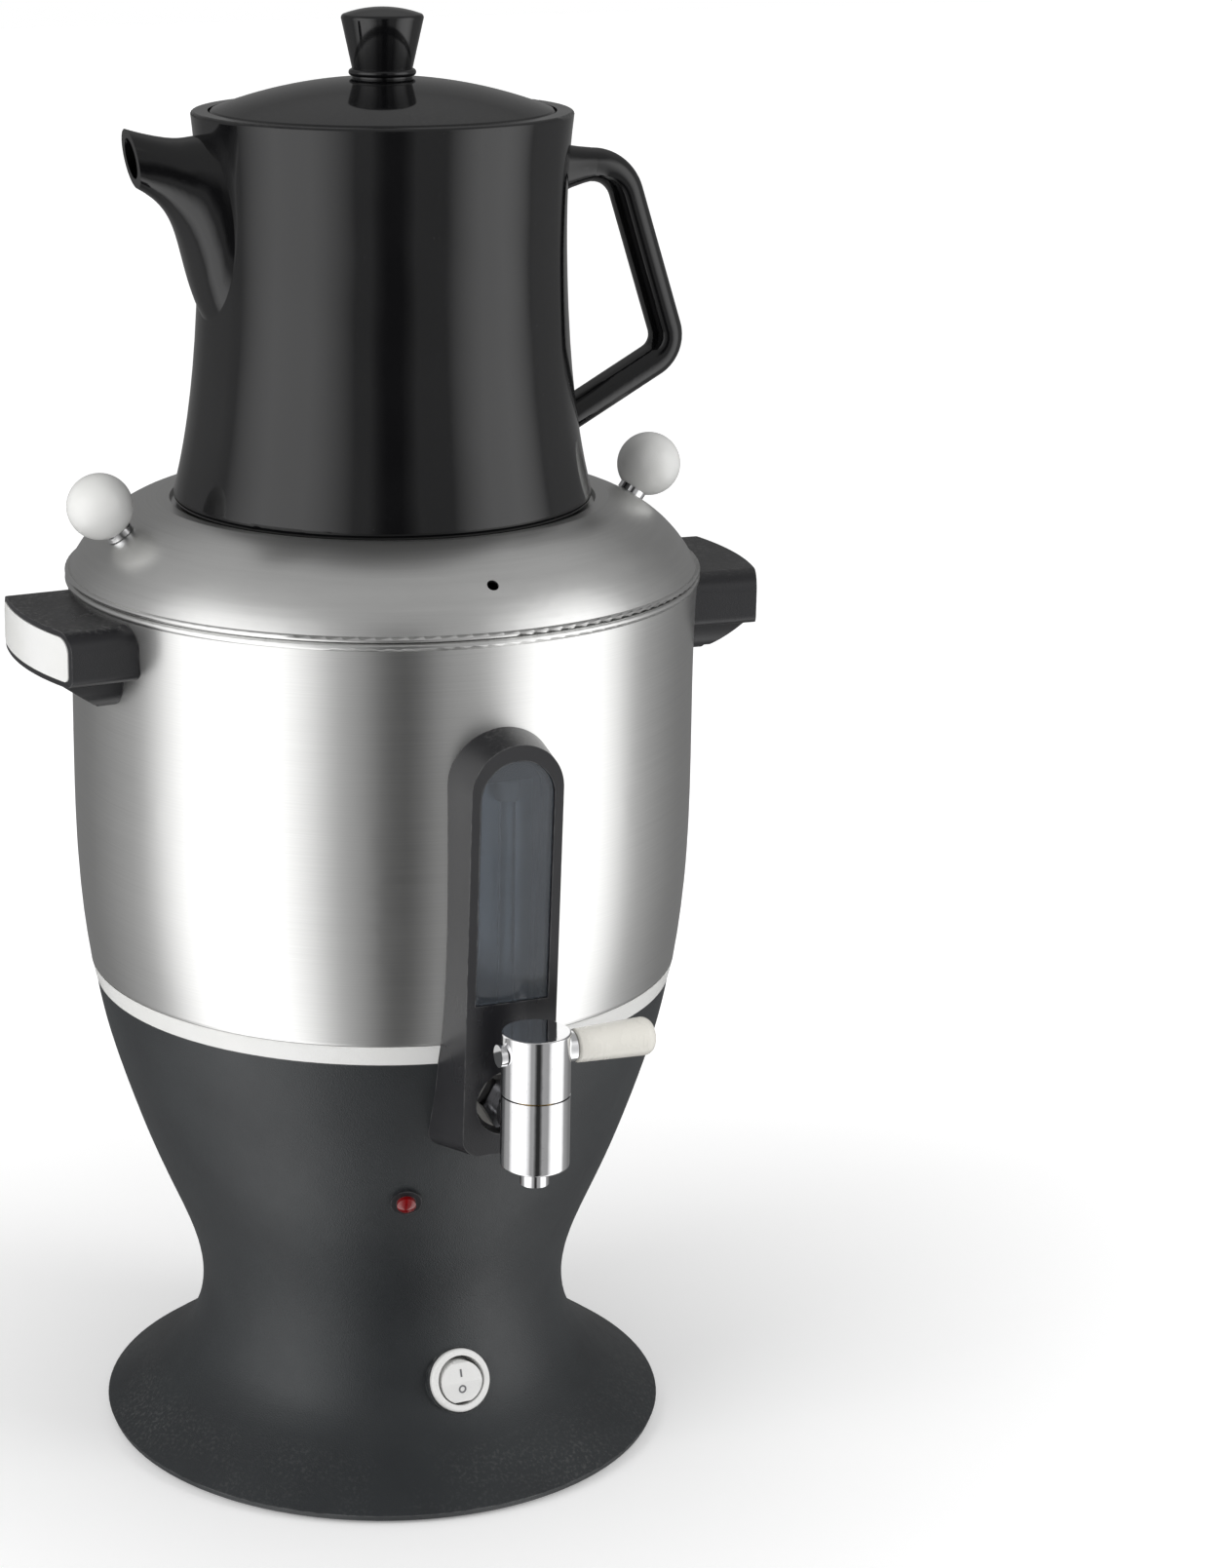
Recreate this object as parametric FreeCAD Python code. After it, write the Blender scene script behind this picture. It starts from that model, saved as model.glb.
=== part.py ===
import FreeCAD, Part
import math
import os

# Electric tea samovar: a waisted base with a heater, a steel water tank with a sight gauge and a tap,
# a domed water lid and a teapot that stands on it.
# Millimetres. +Z is up, the tap faces -Y, the side handles lie near the X axis.
# The origin is on the floor, on the upright axis of the tank.

os.makedirs("parts", exist_ok=True)

# General clearances
running_gap = 0.08
seat_gap = 0.1
moving_gap = 0.3

# Base housing, as (height, radius) points of the outer skin
base_rim_height = 1.2
base_rim_radius = 92.6
base_edge_height = 3.2
base_edge_radius = 93.4
base_waist_height = 46.0
base_waist_radius = 60.5
base_flare_height = 14.0
base_flare_radius = 78.4
base_foot_height = 27.0
base_foot_radius = 65.6
base_belly_height = 88.0
base_belly_radius = 72.9
base_shoulder_height = 122.0
base_shoulder_radius = 85.4
base_top_height = 156.0
base_top_radius = 93.9
base_wall = 2.6

# Bottom cover, its posts and screws, and the feet
cover_height = 3.2
cover_thickness = 2.2
cover_radius = 79.0
post_radius = 3.8
post_circle = 55.0
post_top = 46.0
post_angles = (45, 135, 225, 315)
screw_radius = 1.5
screw_head_radius = 2.9
screw_head_height = 1.8
screw_length = 14.0
foot_radius = 7.0
foot_circle = 70.0

# Tank
tank_rim_height = 289.4
tank_rim_radius = 100.1
tank_mid_height = 235.0
tank_mid_radius = 99.4
tank_low_height = 180.0
tank_low_radius = 97.7
tank_curl_height = 163.4
tank_curl_radius = 95.6
tank_curl_bend = 14.0
tank_neck_bend = 8.0
tank_bottom_height = 134.0
tank_bottom_bend = 10.0
tank_wall = 1.0
tank_bead_radius = 1.2
trim_top_height = 163.0
ledge_thickness = 2.6

# Heater under the tank
plate_radius = 60.0
plate_thickness = 4.0
element_circle = 44.0
element_radius = 4.2
cold_end_length = 26.0
thermostat_radius = 12.0
thermostat_height = 10.0
fuse_radius = 3.0
fuse_length = 24.0
stud_circle = 68.0
stud_radius = 2.0
stud_length = 24.0
stud_angles = (30, 150, 270)
lug_height = 116.0
lug_thickness = 4.0
lug_width = 14.0
nut_across = 7.0
nut_height = 3.2

# Sight gauge tower, the arched housing in front of the tank
tower_top_height = 260.5
tower_bottom_height = 130.5
tower_half_width = 14.9
tower_root_half_width = 17.0
tower_bottom_taper = 0.8
tower_face = 109.9
tower_face_height = 215.0
tower_lean = 0.045
window_top_height = 255.2
window_bottom_height = 179.0
window_half_width = 11.8
window_thickness = 1.6
window_recess = 0.9
window_lip = 1.2
cavity_half_width = 9.6
gauge_radius = 2.6
gauge_wall = 0.7
gauge_place = 102.5
gauge_foot_height = 170.0
gauge_top_height = 247.0
gauge_seal_height = 6.0
gauge_seal_wall = 1.2
cavity_floor_height = 167.0

# Tap
tap_place = 126.7
tap_radius = 10.4
tap_bottom_height = 134.1
tap_seam_height = 156.8
tap_top_height = 176.5
tap_seam_gap = 0.5
tap_wall = 2.4
nozzle_radius = 4.35
nozzle_bore = 3.0
nozzle_drop = 5.9
shank_height = 146.5
shank_radius = 5.5
shank_clearance = 0.3
shank_bore = 3.0
shank_end = 74.0
shank_nut_across = 15.0
shank_nut_height = 4.5
washer_thickness = 1.0
recess_radius = 10.6
recess_depth = 5.2
lever_height = 170.2
lever_collar_radius = 4.6
lever_stem_radius = 2.2
grip_root_radius = 5.1
grip_end_radius = 5.9
grip_start = 12.2
grip_end = 37.5

# Rocker switch and indicator lamp in the base
switch_azimuth = 2.0
switch_height = 33.0
switch_tilt = 20.0
switch_rim_radius = 10.2
switch_rim_thickness = 2.0
switch_barrel_radius = 8.9
switch_barrel_depth = 15.0
switch_boss_wall = 2.2
rocker_radius = 7.0
rocker_slot_radius = 8.0
rocker_depth = 3.4
rocker_rise = 1.0
rocker_tilt = 7.0
rocker_pin_radius = 1.1
lamp_azimuth = -15.7
lamp_height = 105.0
lamp_rim_radius = 4.9
lamp_barrel_radius = 3.9
lamp_barrel_depth = 12.0
lamp_rim_thickness = 1.0

# Cable entry at the back of the waist
gland_height = 46.0
gland_bore = 3.6
gland_barrel_radius = 6.2
gland_rim_radius = 9.0
gland_rim_thickness = 3.0
gland_depth = 9.0

# Side handles
handle_top_height = 286.2
handle_thickness = 17.0
handle_half_width = 30.5
handle_reach = 120.5
handle_bow = 112.0
handle_forward = 4.0
handle_round = 6.5
handle_wall = 3.2
corbel_bottom_height = 258.8
corbel_half_width = 22.0
corbel_round = 8.0
panel_thickness = 1.2
panel_margin = 1.8
handle_bolt_radius = 2.0
bolt_head_radius = 3.8
handle_bolt_spread = 24.0
handle_bolt_height = 273.0

# Water lid
lid_edge_height = 290.6
lid_edge_radius = 99.9
lid_bead_radius = 0.9
lid_shoulder_height = 303.0
lid_shoulder_radius = 90.9
lid_crest_height = 313.2
lid_crest_radius = 71.5
lid_sheet = 0.9
lid_skirt_radius = 97.9
lid_skirt_depth = 6.5
lid_opening_radius = 34.0
pot_seat_height = 311.2
pot_seat_radius = 66.8
vent_radius = 1.8
vent_place = 90.6
knob_ball_radius = 10.3
knob_foot_radius = 86.4
knob_collar_radius = 4.6
knob_collar_height = 2.0
knob_screw_radius = 1.6

# Teapot
pot_base_radius = 62.5
pot_heel_height = 3.4
pot_heel_radius = 66.0
pot_low_height = 21.5
pot_low_radius = 62.2
pot_waist_height = 72.0
pot_waist_radius = 57.5
pot_neck_height = 103.5
pot_neck_radius = 57.5
pot_height = 121.5
pot_rim_radius = 58.9
pot_wall = 3.0
pot_floor = 4.5
pot_ledge_radius = 49.5
pot_ledge_depth = 3.0
pot_ledge_thickness = 3.0
spout_wall = 2.6
strap_half_thickness = 5.3
strap_half_width = 6.4

# Teapot lid and its knob
potlid_radius = 53.0
potlid_rise = 9.6
potlid_wall = 2.8
potlid_skirt_radius = 48.6
potlid_skirt_depth = 9.0
potknob_root_radius = 9.3
potknob_top_radius = 12.6
potknob_height = 19.0
potknob_crown = 2.4
potknob_bead_radius = 1.1
potknob_screw_radius = 2.0


def vec(x, y, z):
    return FreeCAD.Vector(x, y, z)


up = vec(0, 0, 1)
centre = vec(0, 0, 0)


def save(shape, node):
    shape.exportStep("parts/" + node + ".step")


def rz(radius, height):
    return vec(radius, 0, height)


def line(start, end):
    return Part.makeLine(start, end)


def arc(start, middle, end):
    return Part.Arc(start, middle, end).toShape()


def smooth(points):
    curve = Part.BSplineCurve()
    curve.interpolate(points)
    return curve.toShape()


def spin(edges):
    face = Part.Face(Part.Wire(edges))
    return face.revolve(centre, up, 360)


def spin_points(points):
    closed = [rz(*point) for point in points]
    closed.append(closed[0])
    return Part.Face(Part.makePolygon(closed)).revolve(centre, up, 360)


def cylinder(radius, length, start, direction=up):
    return Part.makeCylinder(radius, length, start, direction)


def ring(outer, inner, bottom, top):
    body = cylinder(outer, top - bottom, vec(0, 0, bottom))
    return body.cut(cylinder(inner, top - bottom, vec(0, 0, bottom)))


def box(low, high):
    size = high - low
    return Part.makeBox(size.x, size.y, size.z, low)


def hexagon(across, height, start, direction=up):
    radius = across / math.sqrt(3)
    corners = [vec(radius * math.cos(k * math.pi / 3), radius * math.sin(k * math.pi / 3), 0) for k in range(7)]
    nut = Part.Face(Part.makePolygon(corners)).extrude(vec(0, 0, height))
    nut.Placement = FreeCAD.Placement(start, FreeCAD.Rotation(up, direction))
    return nut


def around(shape, degrees):
    turned = shape.copy()
    turned.rotate(centre, up, degrees)
    return turned


def on_circle(radius, degrees, height):
    angle = math.radians(degrees)
    return vec(radius * math.cos(angle), radius * math.sin(angle), height)


def carve(shape, tools):
    for tool in tools:
        shape = shape.cut(tool)
    return shape


def grown(points, amount):
    """Moves each point of a smooth (radius, height) curve along the curve's normal."""
    curve = Part.BSplineCurve()
    curve.interpolate(points)
    moved = []
    for point in points:
        tangent = curve.tangent(curve.parameter(point))[0]
        if tangent.z < 0:
            tangent = tangent * -1
        moved.append(point + vec(tangent.z, 0, -tangent.x) * amount)
    return moved


# Base

def base_points():
    return [
        rz(base_edge_radius, base_edge_height),
        rz(base_flare_radius, base_flare_height),
        rz(base_foot_radius, base_foot_height),
        rz(base_waist_radius, base_waist_height),
        rz(base_belly_radius, base_belly_height),
        rz(base_shoulder_radius, base_shoulder_height),
        rz(base_top_radius, base_top_height),
    ]


def base_curve():
    curve = Part.BSplineCurve()
    curve.interpolate(base_points())
    return curve


def base_solid(amount):
    points = grown(base_points(), amount)
    top = rz(points[-1].x, base_top_height)
    points[-1] = top
    rim = rz(base_rim_radius + amount, base_rim_height)
    if amount < 0:
        rim = rz(points[0].x, base_rim_height)
    edges = [
        line(rz(0, base_rim_height), rim),
        line(rim, points[0]),
        smooth(points),
        line(top, rz(0, base_top_height)),
        line(rz(0, base_top_height), rz(0, base_rim_height)),
    ]
    return spin(edges)


def base_place(azimuth, height):
    """Point and outward normal of the base skin, at an azimuth counted from the tap towards +X."""
    curve = base_curve()
    steps = [curve.value(curve.FirstParameter + k / 2000 * (curve.LastParameter - curve.FirstParameter))
             for k in range(2001)]
    best = min(range(2001), key=lambda k: abs(steps[k].z - height))
    point = steps[best]
    along = steps[min(best + 1, 2000)] - steps[max(best - 1, 0)]
    along.normalize()
    if along.z < 0:
        along = along * -1
    turn = FreeCAD.Rotation(up, azimuth - 90)
    return turn.multVec(point), turn.multVec(vec(along.z, 0, -along.x))


def local_frame(azimuth, point, normal):
    """Placement whose Z is the normal and whose X is level, for pieces let into the base."""
    level = FreeCAD.Rotation(up, azimuth).multVec(vec(1, 0, 0))
    return FreeCAD.Placement(point, FreeCAD.Rotation(level, normal.cross(level), normal, "ZXY"))


def placed(shape, placement):
    moved = shape.copy()
    moved.Placement = placement.multiply(moved.Placement)
    return moved


def switch_frame():
    point = base_place(switch_azimuth, switch_height)[0]
    tilt = math.radians(switch_tilt)
    normal = FreeCAD.Rotation(up, switch_azimuth).multVec(vec(0, -math.cos(tilt), math.sin(tilt)))
    return local_frame(switch_azimuth, point + normal * 0.8, normal)


def lamp_frame():
    point, normal = base_place(lamp_azimuth, lamp_height)
    return local_frame(lamp_azimuth, point, normal)


def gland_seat():
    return base_place(180, gland_height)[0].y


def tank_lug(angle):
    block = box(vec(stud_circle - 5, -lug_width / 2, lug_height),
                vec(base_top_radius, lug_width / 2, lug_height + lug_thickness))
    hole = cylinder(stud_radius + 0.2, lug_thickness, vec(stud_circle, 0, lug_height))
    return around(block.cut(hole), angle)


def base_housing():
    outer = base_solid(0)
    shell = outer.cut(base_solid(-base_wall))
    ledge = ring(base_top_radius - base_wall, base_top_radius - 9,
                 base_top_height - 1 - ledge_thickness, base_top_height - 1)
    extras = [ledge]
    cover_top = cover_height + cover_thickness
    for angle in post_angles:
        extras.append(cylinder(post_radius, post_top - cover_top, on_circle(post_circle, angle, cover_top)))
    for angle in stud_angles:
        extras.append(tank_lug(angle))
    boss = cylinder(switch_rim_radius + 0.8, switch_boss_wall + 4.0, vec(0, 0, -switch_boss_wall - 4.0))
    body = shell
    for piece in extras:
        body = body.fuse(piece.common(outer))
    body = body.fuse(placed(boss, switch_frame()))
    shank_hole = cylinder(shank_radius + shank_clearance, 30, vec(0, -80, shank_height), vec(0, -1, 0))
    cuts = [tank_solid(seat_gap), shank_hole]
    for angle in post_angles:
        cuts.append(cylinder(screw_radius, screw_length, on_circle(post_circle, angle, cover_height)))
    barrel = cylinder(switch_barrel_radius + seat_gap, 60, vec(0, 0, -30))
    cuts.append(placed(barrel, switch_frame()))
    lamp = cylinder(lamp_barrel_radius + seat_gap, 30, vec(0, 0, -15))
    cuts.append(placed(lamp, lamp_frame()))
    cuts.append(cylinder(gland_barrel_radius + seat_gap, 30, vec(0, gland_seat() - 15, gland_height), vec(0, 1, 0)))
    spot_face = cylinder(switch_rim_radius + 0.5, 30, centre)
    cuts.append(placed(spot_face, switch_frame()))
    return carve(body, cuts)


def bottom_cover():
    plate = cylinder(cover_radius, cover_thickness, vec(0, 0, cover_height))
    for angle in post_angles:
        spot = on_circle(post_circle, angle, cover_height)
        plate = plate.cut(cylinder(screw_radius + 0.2, cover_thickness, spot))
    slots = []
    for k in range(-2, 3):
        slots.append(box(vec(-18, k * 7 - 1.5, cover_height), vec(18, k * 7 + 1.5, cover_height + cover_thickness)))
    return carve(plate, slots)


def cover_screw(angle):
    spot = on_circle(post_circle, angle, cover_height)
    shank = cylinder(screw_radius - 0.02, screw_length - 1, spot)
    head = cylinder(screw_head_radius, screw_head_height, spot - vec(0, 0, screw_head_height))
    return shank.fuse(head)


def rubber_foot(angle):
    spot = on_circle(foot_circle, angle, 0)
    foot = Part.makeCone(foot_radius - 0.8, foot_radius, cover_height, spot)
    return foot


# Tank

def tank_solid(amount):
    """The tank's outer form, filled, grown by an amount, from its floor to its rim."""
    side = grown([
        rz(tank_curl_radius, tank_curl_height),
        rz(tank_low_radius, tank_low_height),
        rz(tank_mid_radius, tank_mid_height),
        rz(tank_rim_radius, tank_rim_height),
    ], amount)
    side[-1] = rz(side[-1].x, tank_rim_height)
    slope = math.atan2(tank_low_radius - tank_curl_radius, tank_low_height - tank_curl_height) * 1.7
    curl = rz(tank_curl_radius - tank_curl_bend * math.cos(slope), tank_curl_height + tank_curl_bend * math.sin(slope))
    turn_end = math.radians(-60)

    def from_curl(angle):
        return curl + rz(math.cos(angle), math.sin(angle)) * (tank_curl_bend + amount)

    neck = curl + rz(math.cos(turn_end), math.sin(turn_end)) * (tank_curl_bend + tank_neck_bend)

    def from_neck(angle):
        return neck + rz(math.cos(angle), math.sin(angle)) * (tank_neck_bend - amount)

    wall_radius = neck.x - tank_neck_bend
    heel = rz(wall_radius - tank_bottom_bend, tank_bottom_height + tank_bottom_bend)

    def from_heel(angle):
        return heel + rz(math.cos(angle), math.sin(angle)) * (tank_bottom_bend + amount)

    first = from_curl(-slope)
    side[0] = first
    edges = [
        smooth(side),
        arc(first, from_curl((turn_end - slope) / 2), from_curl(turn_end)),
        arc(from_curl(turn_end), from_neck(math.radians(150)), from_neck(math.pi)),
        line(from_neck(math.pi), from_heel(0)),
        arc(from_heel(0), from_heel(-math.pi / 4), from_heel(-math.pi / 2)),
        line(from_heel(-math.pi / 2), rz(0, tank_bottom_height - amount)),
        line(rz(0, tank_bottom_height - amount), rz(0, tank_rim_height)),
        line(rz(0, tank_rim_height), side[-1]),
    ]
    return spin(edges)


def tank_rim_bead():
    height = tank_rim_height - tank_bead_radius
    radius = tank_rim_radius - tank_wall / 2
    return Part.makeTorus(radius, tank_bead_radius, vec(0, 0, height))


def tank():
    shell = tank_solid(0).cut(tank_solid(-tank_wall))
    inside_top = cylinder(tank_rim_radius - tank_wall, 2, vec(0, 0, tank_rim_height - 1))
    shell = shell.cut(inside_top).fuse(tank_rim_bead())
    cuts = [cylinder(shank_radius + seat_gap, 40, vec(0, -60, shank_height), vec(0, -1, 0))]
    for side in (-1, 1):
        for across in (-1, 1):
            cuts.append(handle_bolt_hole(side, across, handle_bolt_radius + seat_gap))
    return carve(shell, cuts)


def trim_ring():
    points = [
        (base_top_radius - 7, base_top_height + seat_gap),
        (base_top_radius + 0.1, base_top_height + seat_gap),
        (tank_curl_radius - 0.1, trim_top_height - 0.6),
        (tank_curl_radius - 0.4, trim_top_height),
        (base_top_radius - 7, trim_top_height),
    ]
    return carve(spin_points(points), [tank_solid(seat_gap), tower_outer(seat_gap)])


# Heater

def heating_plate():
    return cylinder(plate_radius, plate_thickness, vec(0, 0, tank_bottom_height - plate_thickness))


def heating_element():
    height = tank_bottom_height - plate_thickness - element_radius
    loop = Part.makeTorus(element_circle, element_radius, vec(0, 0, height), up, 0, 360, 320)
    ends = []
    for angle in (0, 320):
        spot = on_circle(element_circle, angle, height)
        ends.append(Part.makeSphere(element_radius, spot))
        ends.append(cylinder(element_radius, cold_end_length, spot, vec(0, 0, -1)))
        ends.append(cylinder(1.6, cold_end_length + 8, spot, vec(0, 0, -1)))
    return around(loop.fuse(ends), 110)


def thermostat():
    top = tank_bottom_height - plate_thickness
    body = cylinder(thermostat_radius, thermostat_height, vec(0, 0, top - thermostat_height))
    tabs = []
    for side in (-1, 1):
        tabs.append(box(vec(side * 6 - 0.4, -3, top - thermostat_height - 8),
                        vec(side * 6 + 0.4, 3, top - thermostat_height)))
    return body.fuse(tabs)


def thermal_fuse():
    top = tank_bottom_height - plate_thickness
    return cylinder(fuse_radius, fuse_length, vec(-fuse_length / 2, 26, top - fuse_radius), vec(1, 0, 0))


def tank_stud(angle):
    spot = on_circle(stud_circle, angle, tank_bottom_height)
    return cylinder(stud_radius, stud_length, spot, vec(0, 0, -1))


def stud_nut(angle):
    spot = on_circle(stud_circle, angle, lug_height - nut_height)
    nut = hexagon(nut_across, nut_height, spot)
    return nut.cut(cylinder(stud_radius + 0.02, nut_height, spot))


def terminal_block():
    low = cover_height + cover_thickness
    block = box(vec(-16, 18, low), vec(16, 30, low + 14))
    holes = []
    for k in (-1, 0, 1):
        holes.append(cylinder(1.8, 12, vec(k * 10, 18, low + 7), vec(0, 1, 0)))
        holes.append(cylinder(1.6, 7, vec(k * 10, 24, low + 7)))
    return carve(block, holes)


# Sight gauge tower

def tower_face_at(height):
    return tower_face + tower_lean * (height - tower_face_height)


def tower_wire(half_width, place, shrink):
    """Arched outline in a plane of constant Y, smaller all round by shrink."""
    top = tower_top_height - shrink
    bottom = tower_bottom_height + shrink
    low = half_width - tower_bottom_taper
    round_off = 6.0
    spring = top - half_width
    corner = round_off * (1 - math.sqrt(0.5))
    points = [
        vec(half_width, -place, spring),
        vec(0, -place, top),
        vec(-half_width, -place, spring),
        vec(-low, -place, bottom + round_off),
        vec(-low + corner, -place, bottom + corner),
        vec(-low + round_off, -place, bottom),
        vec(low - round_off, -place, bottom),
        vec(low - corner, -place, bottom + corner),
        vec(low, -place, bottom + round_off),
    ]
    return Part.Wire([
        arc(points[0], points[1], points[2]),
        line(points[2], points[3]),
        arc(points[3], points[4], points[5]),
        line(points[5], points[6]),
        arc(points[6], points[7], points[8]),
        line(points[8], points[0]),
    ])


def tower_outer(grow):
    back = 82.0
    front = tower_face + 6
    flare = (tower_root_half_width - tower_half_width) / 12.0
    back_width = tower_half_width + flare * (tower_face - back)
    front_width = tower_half_width - flare * (front - tower_face)
    back_wire = tower_wire(back_width + grow, back, tower_half_width - back_width - grow)
    front_wire = tower_wire(front_width + grow, front, tower_half_width - front_width - grow)
    block = Part.makeLoft([back_wire, front_wire], True, True)
    top = tower_face_at(tower_top_height + 20)
    bottom = tower_face_at(tower_bottom_height - 20)
    corners = [
        vec(-40, -bottom, tower_bottom_height - 20),
        vec(-40, -top, tower_top_height + 20),
        vec(-40, -top - 40, tower_top_height + 20),
        vec(-40, -bottom - 40, tower_bottom_height - 20),
        vec(-40, -bottom, tower_bottom_height - 20),
    ]
    cutter = Part.Face(Part.makePolygon(corners)).extrude(vec(80, 0, 0))
    return block.cut(cutter)


def window_wire(inset, place):
    half = window_half_width - inset
    top = window_top_height - inset
    bottom = window_bottom_height + inset
    spring = top - half
    return Part.Wire([
        arc(vec(half, place, spring), vec(0, place, top), vec(-half, place, spring)),
        line(vec(-half, place, spring), vec(-half, place, bottom)),
        line(vec(-half, place, bottom), vec(half, place, bottom)),
        line(vec(half, place, bottom), vec(half, place, spring)),
    ])


def leaning_slab(front_offset, back_offset):
    """Slab parallel to the tower's front face, between two depths behind it."""
    low = tower_bottom_height
    high = tower_top_height
    corners = [
        vec(-40, -tower_face_at(low) + front_offset, low),
        vec(-40, -tower_face_at(high) + front_offset, high),
        vec(-40, -tower_face_at(high) + back_offset, high),
        vec(-40, -tower_face_at(low) + back_offset, low),
        vec(-40, -tower_face_at(low) + front_offset, low),
    ]
    return Part.Face(Part.makePolygon(corners)).extrude(vec(80, 0, 0))


def window_prism(inset):
    return Part.Face(window_wire(inset, -tower_face - 10)).extrude(vec(0, 30, 0))


def cavity_top():
    return window_top_height - window_half_width + 4


def gauge_tower():
    block = tower_outer(0)
    cavity_face = gauge_place + gauge_radius + gauge_seal_wall + seat_gap
    cavity = box(vec(-cavity_half_width, -cavity_face, cavity_floor_height),
                 vec(cavity_half_width, -80, cavity_top()))
    cuts = [
        base_solid(seat_gap),
        tank_solid(seat_gap),
        cavity,
        window_prism(0).common(leaning_slab(-5, window_recess + window_thickness + 0.05)),
        window_prism(window_lip).common(leaning_slab(-5, window_recess + window_thickness + 4.5)),
        cylinder(recess_radius, 20, vec(0, -shank_seat(), shank_height), vec(0, -1, 0)),
        cylinder(shank_radius + seat_gap, 40, vec(0, -80, shank_height), vec(0, -1, 0)),
    ]
    return carve(block, cuts)


def gauge_window():
    slab = leaning_slab(window_recess, window_recess + window_thickness)
    return window_prism(seat_gap).common(slab)


def gauge_tube():
    length = gauge_top_height - gauge_foot_height
    foot = vec(0, -gauge_place, gauge_foot_height)
    return cylinder(gauge_radius, length, foot).cut(cylinder(gauge_radius - gauge_wall, length, foot))


def gauge_seal(at_top):
    low = cavity_floor_height
    height = gauge_foot_height - cavity_floor_height + gauge_seal_height
    if at_top:
        low = cavity_top() - gauge_seal_height
        height = gauge_seal_height
    seal = cylinder(gauge_radius + gauge_seal_wall, height, vec(0, -gauge_place, low))
    bore = cylinder(gauge_radius - gauge_wall, height, vec(0, -gauge_place, low))
    return carve(seal, [gauge_tube_filled(), bore, tank_solid(seat_gap)])


def gauge_tube_filled():
    length = gauge_top_height - gauge_foot_height
    return cylinder(gauge_radius + 0.02, length, vec(0, -gauge_place, gauge_foot_height))


# Tap

def tap_axis(height):
    return vec(0, -tap_place, height)


def tap_body():
    low = tap_bottom_height
    barrel = cylinder(tap_radius, tap_seam_height - low, tap_axis(low))
    barrel = barrel.makeFillet(0.8, [edge for edge in barrel.Edges if abs(edge.CenterOfMass.z - low) < 0.01])
    shank = cylinder(shank_radius, tap_place - shank_end, vec(0, -tap_place, shank_height), vec(0, 1, 0))
    collar = cylinder(shank_radius + 1.6, 3.0, vec(0, -tap_place + tap_radius - 0.6, shank_height), vec(0, 1, 0))
    nozzle = cylinder(nozzle_radius, nozzle_drop + 4, tap_axis(low - nozzle_drop))
    body = barrel.fuse([shank, collar, nozzle])
    plug_room = tap_radius - tap_wall
    cuts = [
        cylinder(plug_room, tap_seam_height - low - 5, tap_axis(low + 5)),
        cylinder(nozzle_bore, nozzle_drop + 5, tap_axis(low - nozzle_drop)),
        cylinder(shank_bore, tap_place - shank_end, vec(0, -tap_place, shank_height), vec(0, 1, 0)),
    ]
    return carve(body, cuts)


def tap_plug():
    """Turning plug inside the tap, with its cross hole and its short neck up into the cap."""
    low = tap_bottom_height + 5.1
    radius = tap_radius - tap_wall - running_gap
    plug = cylinder(radius, tap_seam_height + 6 - low, tap_axis(low))
    flow = cylinder(shank_bore, radius + 1, vec(0, -tap_place, shank_height), vec(1, 0, 0))
    down = cylinder(shank_bore, shank_height - low, tap_axis(low))
    return carve(plug, [flow, down])


def tap_cap():
    low = tap_seam_height + tap_seam_gap
    cap = cylinder(tap_radius, tap_top_height - low, tap_axis(low))
    edges = [edge for edge in cap.Edges if abs(edge.CenterOfMass.z - tap_top_height) < 0.01]
    cap = cap.makeFillet(0.6, edges)
    radius = tap_radius - tap_wall - running_gap
    reach = grip_start - 0.4
    collar = cylinder(lever_collar_radius, reach, tap_axis(lever_height), vec(1, 0, 0))
    cuts = [
        cylinder(radius + 0.02, tap_seam_height + 6.1 - low, tap_axis(low)),
        cylinder(lever_stem_radius + 0.02, 40, vec(-20, -tap_place, lever_height), vec(1, 0, 0)),
    ]
    return carve(cap.fuse(collar), cuts)


def lever_stem():
    """Rod through the cap that carries the grip, with its rounded nut on the far side."""
    rod = cylinder(lever_stem_radius, grip_start + 14 + tap_radius, vec(-tap_radius - 0.4, -tap_place, lever_height),
                   vec(1, 0, 0))
    head = cylinder(3.4, 1.9, vec(-tap_radius - 1.8, -tap_place, lever_height), vec(1, 0, 0))
    rounded = cylinder(tap_radius + 0.02, 12, tap_axis(lever_height - 6))
    return rod.fuse(head.cut(rounded))


def lever_grip():
    start = vec(grip_start, -tap_place, lever_height)
    grip = Part.makeCone(grip_root_radius, grip_end_radius, grip_end - grip_start, start, vec(1, 0, 0))
    ends = [edge for edge in grip.Edges if abs(edge.CenterOfMass.x - grip_end) < 0.01]
    grip = grip.makeFillet(3.2, ends)
    roots = [edge for edge in grip.Edges if abs(edge.CenterOfMass.x - grip_start) < 0.01]
    grip = grip.makeFillet(0.8, roots)
    bore = cylinder(lever_stem_radius + 0.02, grip_start + 14, vec(0, -tap_place, lever_height), vec(1, 0, 0))
    return grip.cut(bore)


def shank_seat():
    return tower_face_at(shank_height) - recess_depth


def tap_washer():
    start = vec(0, -shank_seat(), shank_height)
    washer = cylinder(recess_radius - 1.2, washer_thickness, start, vec(0, -1, 0))
    return washer.cut(cylinder(shank_radius + 0.02, washer_thickness, start, vec(0, -1, 0)))


def tap_nut():
    start = vec(0, -shank_seat() - washer_thickness, shank_height)
    nut = hexagon(shank_nut_across, shank_nut_height, start, vec(0, -1, 0))
    return nut.cut(cylinder(shank_radius + 0.02, shank_nut_height, start, vec(0, -1, 0)))


def tank_inner_place():
    """Distance from the axis of the tank's straight lower wall, on its inside."""
    slope = math.atan2(tank_low_radius - tank_curl_radius, tank_low_height - tank_curl_height) * 1.7
    neck = tank_curl_radius - tank_curl_bend * math.cos(slope)
    neck += (tank_curl_bend + tank_neck_bend) * math.cos(math.radians(-60))
    return neck - tank_neck_bend - tank_wall


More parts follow.
